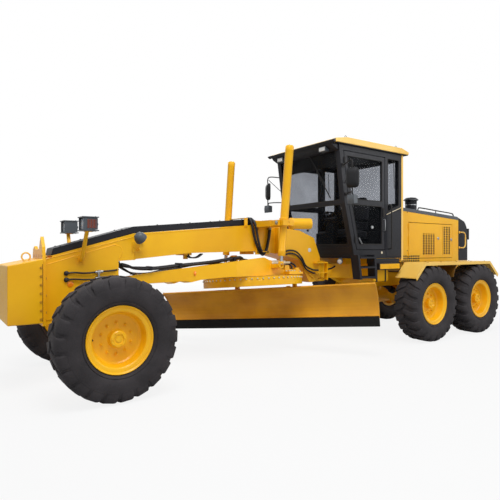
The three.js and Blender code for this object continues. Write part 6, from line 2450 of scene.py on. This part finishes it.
def add_area(name, place, target, size, watts, colour=(1, 1, 1)):
    """A rectangular soft light that faces a target."""
    data = bpy.data.lights.new(name, "AREA")
    data.shape = "RECTANGLE"
    data.size, data.size_y = size
    data.energy = watts
    data.color = colour
    lamp = bpy.data.objects.new(name, data)
    bpy.context.scene.collection.objects.link(lamp)
    lamp.location = place
    lamp.rotation_euler = (Vector(target) - Vector(place)).to_track_quat("-Z", "Y").to_euler()


def add_world():
    """Soft light on the object, and plain white behind it."""
    world = bpy.data.worlds.new("studio")
    bpy.context.scene.world = world
    world.use_nodes = True
    tree = world.node_tree
    tree.nodes.clear()
    output = tree.nodes.new("ShaderNodeOutputWorld")
    mix = tree.nodes.new("ShaderNodeMixShader")
    soft = tree.nodes.new("ShaderNodeBackground")
    soft.inputs["Color"].default_value = (0.93, 0.96, 1.0, 1)
    soft.inputs["Strength"].default_value = 0.50
    white = tree.nodes.new("ShaderNodeBackground")
    white.inputs["Color"].default_value = (1, 1, 1, 1)
    white.inputs["Strength"].default_value = 1.0
    path = tree.nodes.new("ShaderNodeLightPath")
    seen = tree.nodes.new("ShaderNodeMath")
    seen.operation = "MAXIMUM"
    either = tree.nodes.new("ShaderNodeMath")
    either.operation = "MAXIMUM"
    tree.links.new(path.outputs["Is Camera Ray"], seen.inputs[0])
    tree.links.new(path.outputs["Is Glossy Ray"], seen.inputs[1])
    tree.links.new(seen.outputs[0], either.inputs[0])
    tree.links.new(path.outputs["Is Transmission Ray"], either.inputs[1])
    tree.links.new(either.outputs[0], mix.inputs["Fac"])
    tree.links.new(soft.outputs[0], mix.inputs[1])
    tree.links.new(white.outputs[0], mix.inputs[2])
    tree.links.new(mix.outputs[0], output.inputs["Surface"])


def add_floor():
    """A pale floor that fades into the white behind it."""
    mesh = bpy.data.meshes.new("floor")
    r = FLOOR_HALF
    mesh.from_pydata(
        [(-r, -r, -0.002), (r, -r, -0.002), (r, r, -0.002), (-r, r, -0.002)], [], [(0, 1, 2, 3)],
    )
    floor = bpy.data.objects.new("floor", mesh)
    bpy.context.scene.collection.objects.link(floor)
    material = bpy.data.materials.new("floor")
    material.use_nodes = True
    tree = material.node_tree
    tree.nodes.clear()
    output = tree.nodes.new("ShaderNodeOutputMaterial")
    matt = tree.nodes.new("ShaderNodeBsdfDiffuse")
    noise = object_noise(tree, 0.6, 2)
    drive(tree, noise, [(0.3, grey(0.60)), (0.7, grey(0.63))], matt.inputs["Color"])
    glow = tree.nodes.new("ShaderNodeEmission")
    glow.inputs["Strength"].default_value = 1.0
    path = tree.nodes.new("ShaderNodeLightPath")
    share = tree.nodes.new("ShaderNodeMath")
    share.operation = "MULTIPLY"
    mix = tree.nodes.new("ShaderNodeMixShader")
    coords = tree.nodes.new("ShaderNodeTexCoord")
    distance = tree.nodes.new("ShaderNodeVectorMath")
    distance.operation = "LENGTH"
    fade = tree.nodes.new("ShaderNodeMapRange")
    fade.inputs["From Min"].default_value = FADE_START
    fade.inputs["From Max"].default_value = FADE_END
    fade.inputs["To Min"].default_value = 0.86
    fade.inputs["To Max"].default_value = 1.0
    tree.links.new(coords.outputs["Object"], distance.inputs[0])
    tree.links.new(distance.outputs["Value"], fade.inputs["Value"])
    tree.links.new(fade.outputs["Result"], share.inputs[1])
    tree.links.new(path.outputs["Is Camera Ray"], share.inputs[0])
    tree.links.new(share.outputs[0], mix.inputs["Fac"])
    tree.links.new(matt.outputs[0], mix.inputs[1])
    tree.links.new(glow.outputs[0], mix.inputs[2])
    tree.links.new(mix.outputs[0], output.inputs["Surface"])
    mesh.materials.append(material)
    floor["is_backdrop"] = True


add_camera()
add_world()
add_floor()
add_area("key", (3.5, 4.5, 9.5), (0.3, 0, 1.0), (5, 5), 690)
add_area("fill", (-6.5, 7.5, 5.0), (-1.5, 0, 1.0), (5, 4), 190)
add_area("back", (-2.0, -9.0, 7.0), (0, 0, 1.0), (6, 4), 270)
bpy.context.scene.view_settings.view_transform = "Standard"

boxes = {"cad": CAD_BOX, "visual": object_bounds()}
{k: [list(c) for c in v] for k, v in boxes.items()}
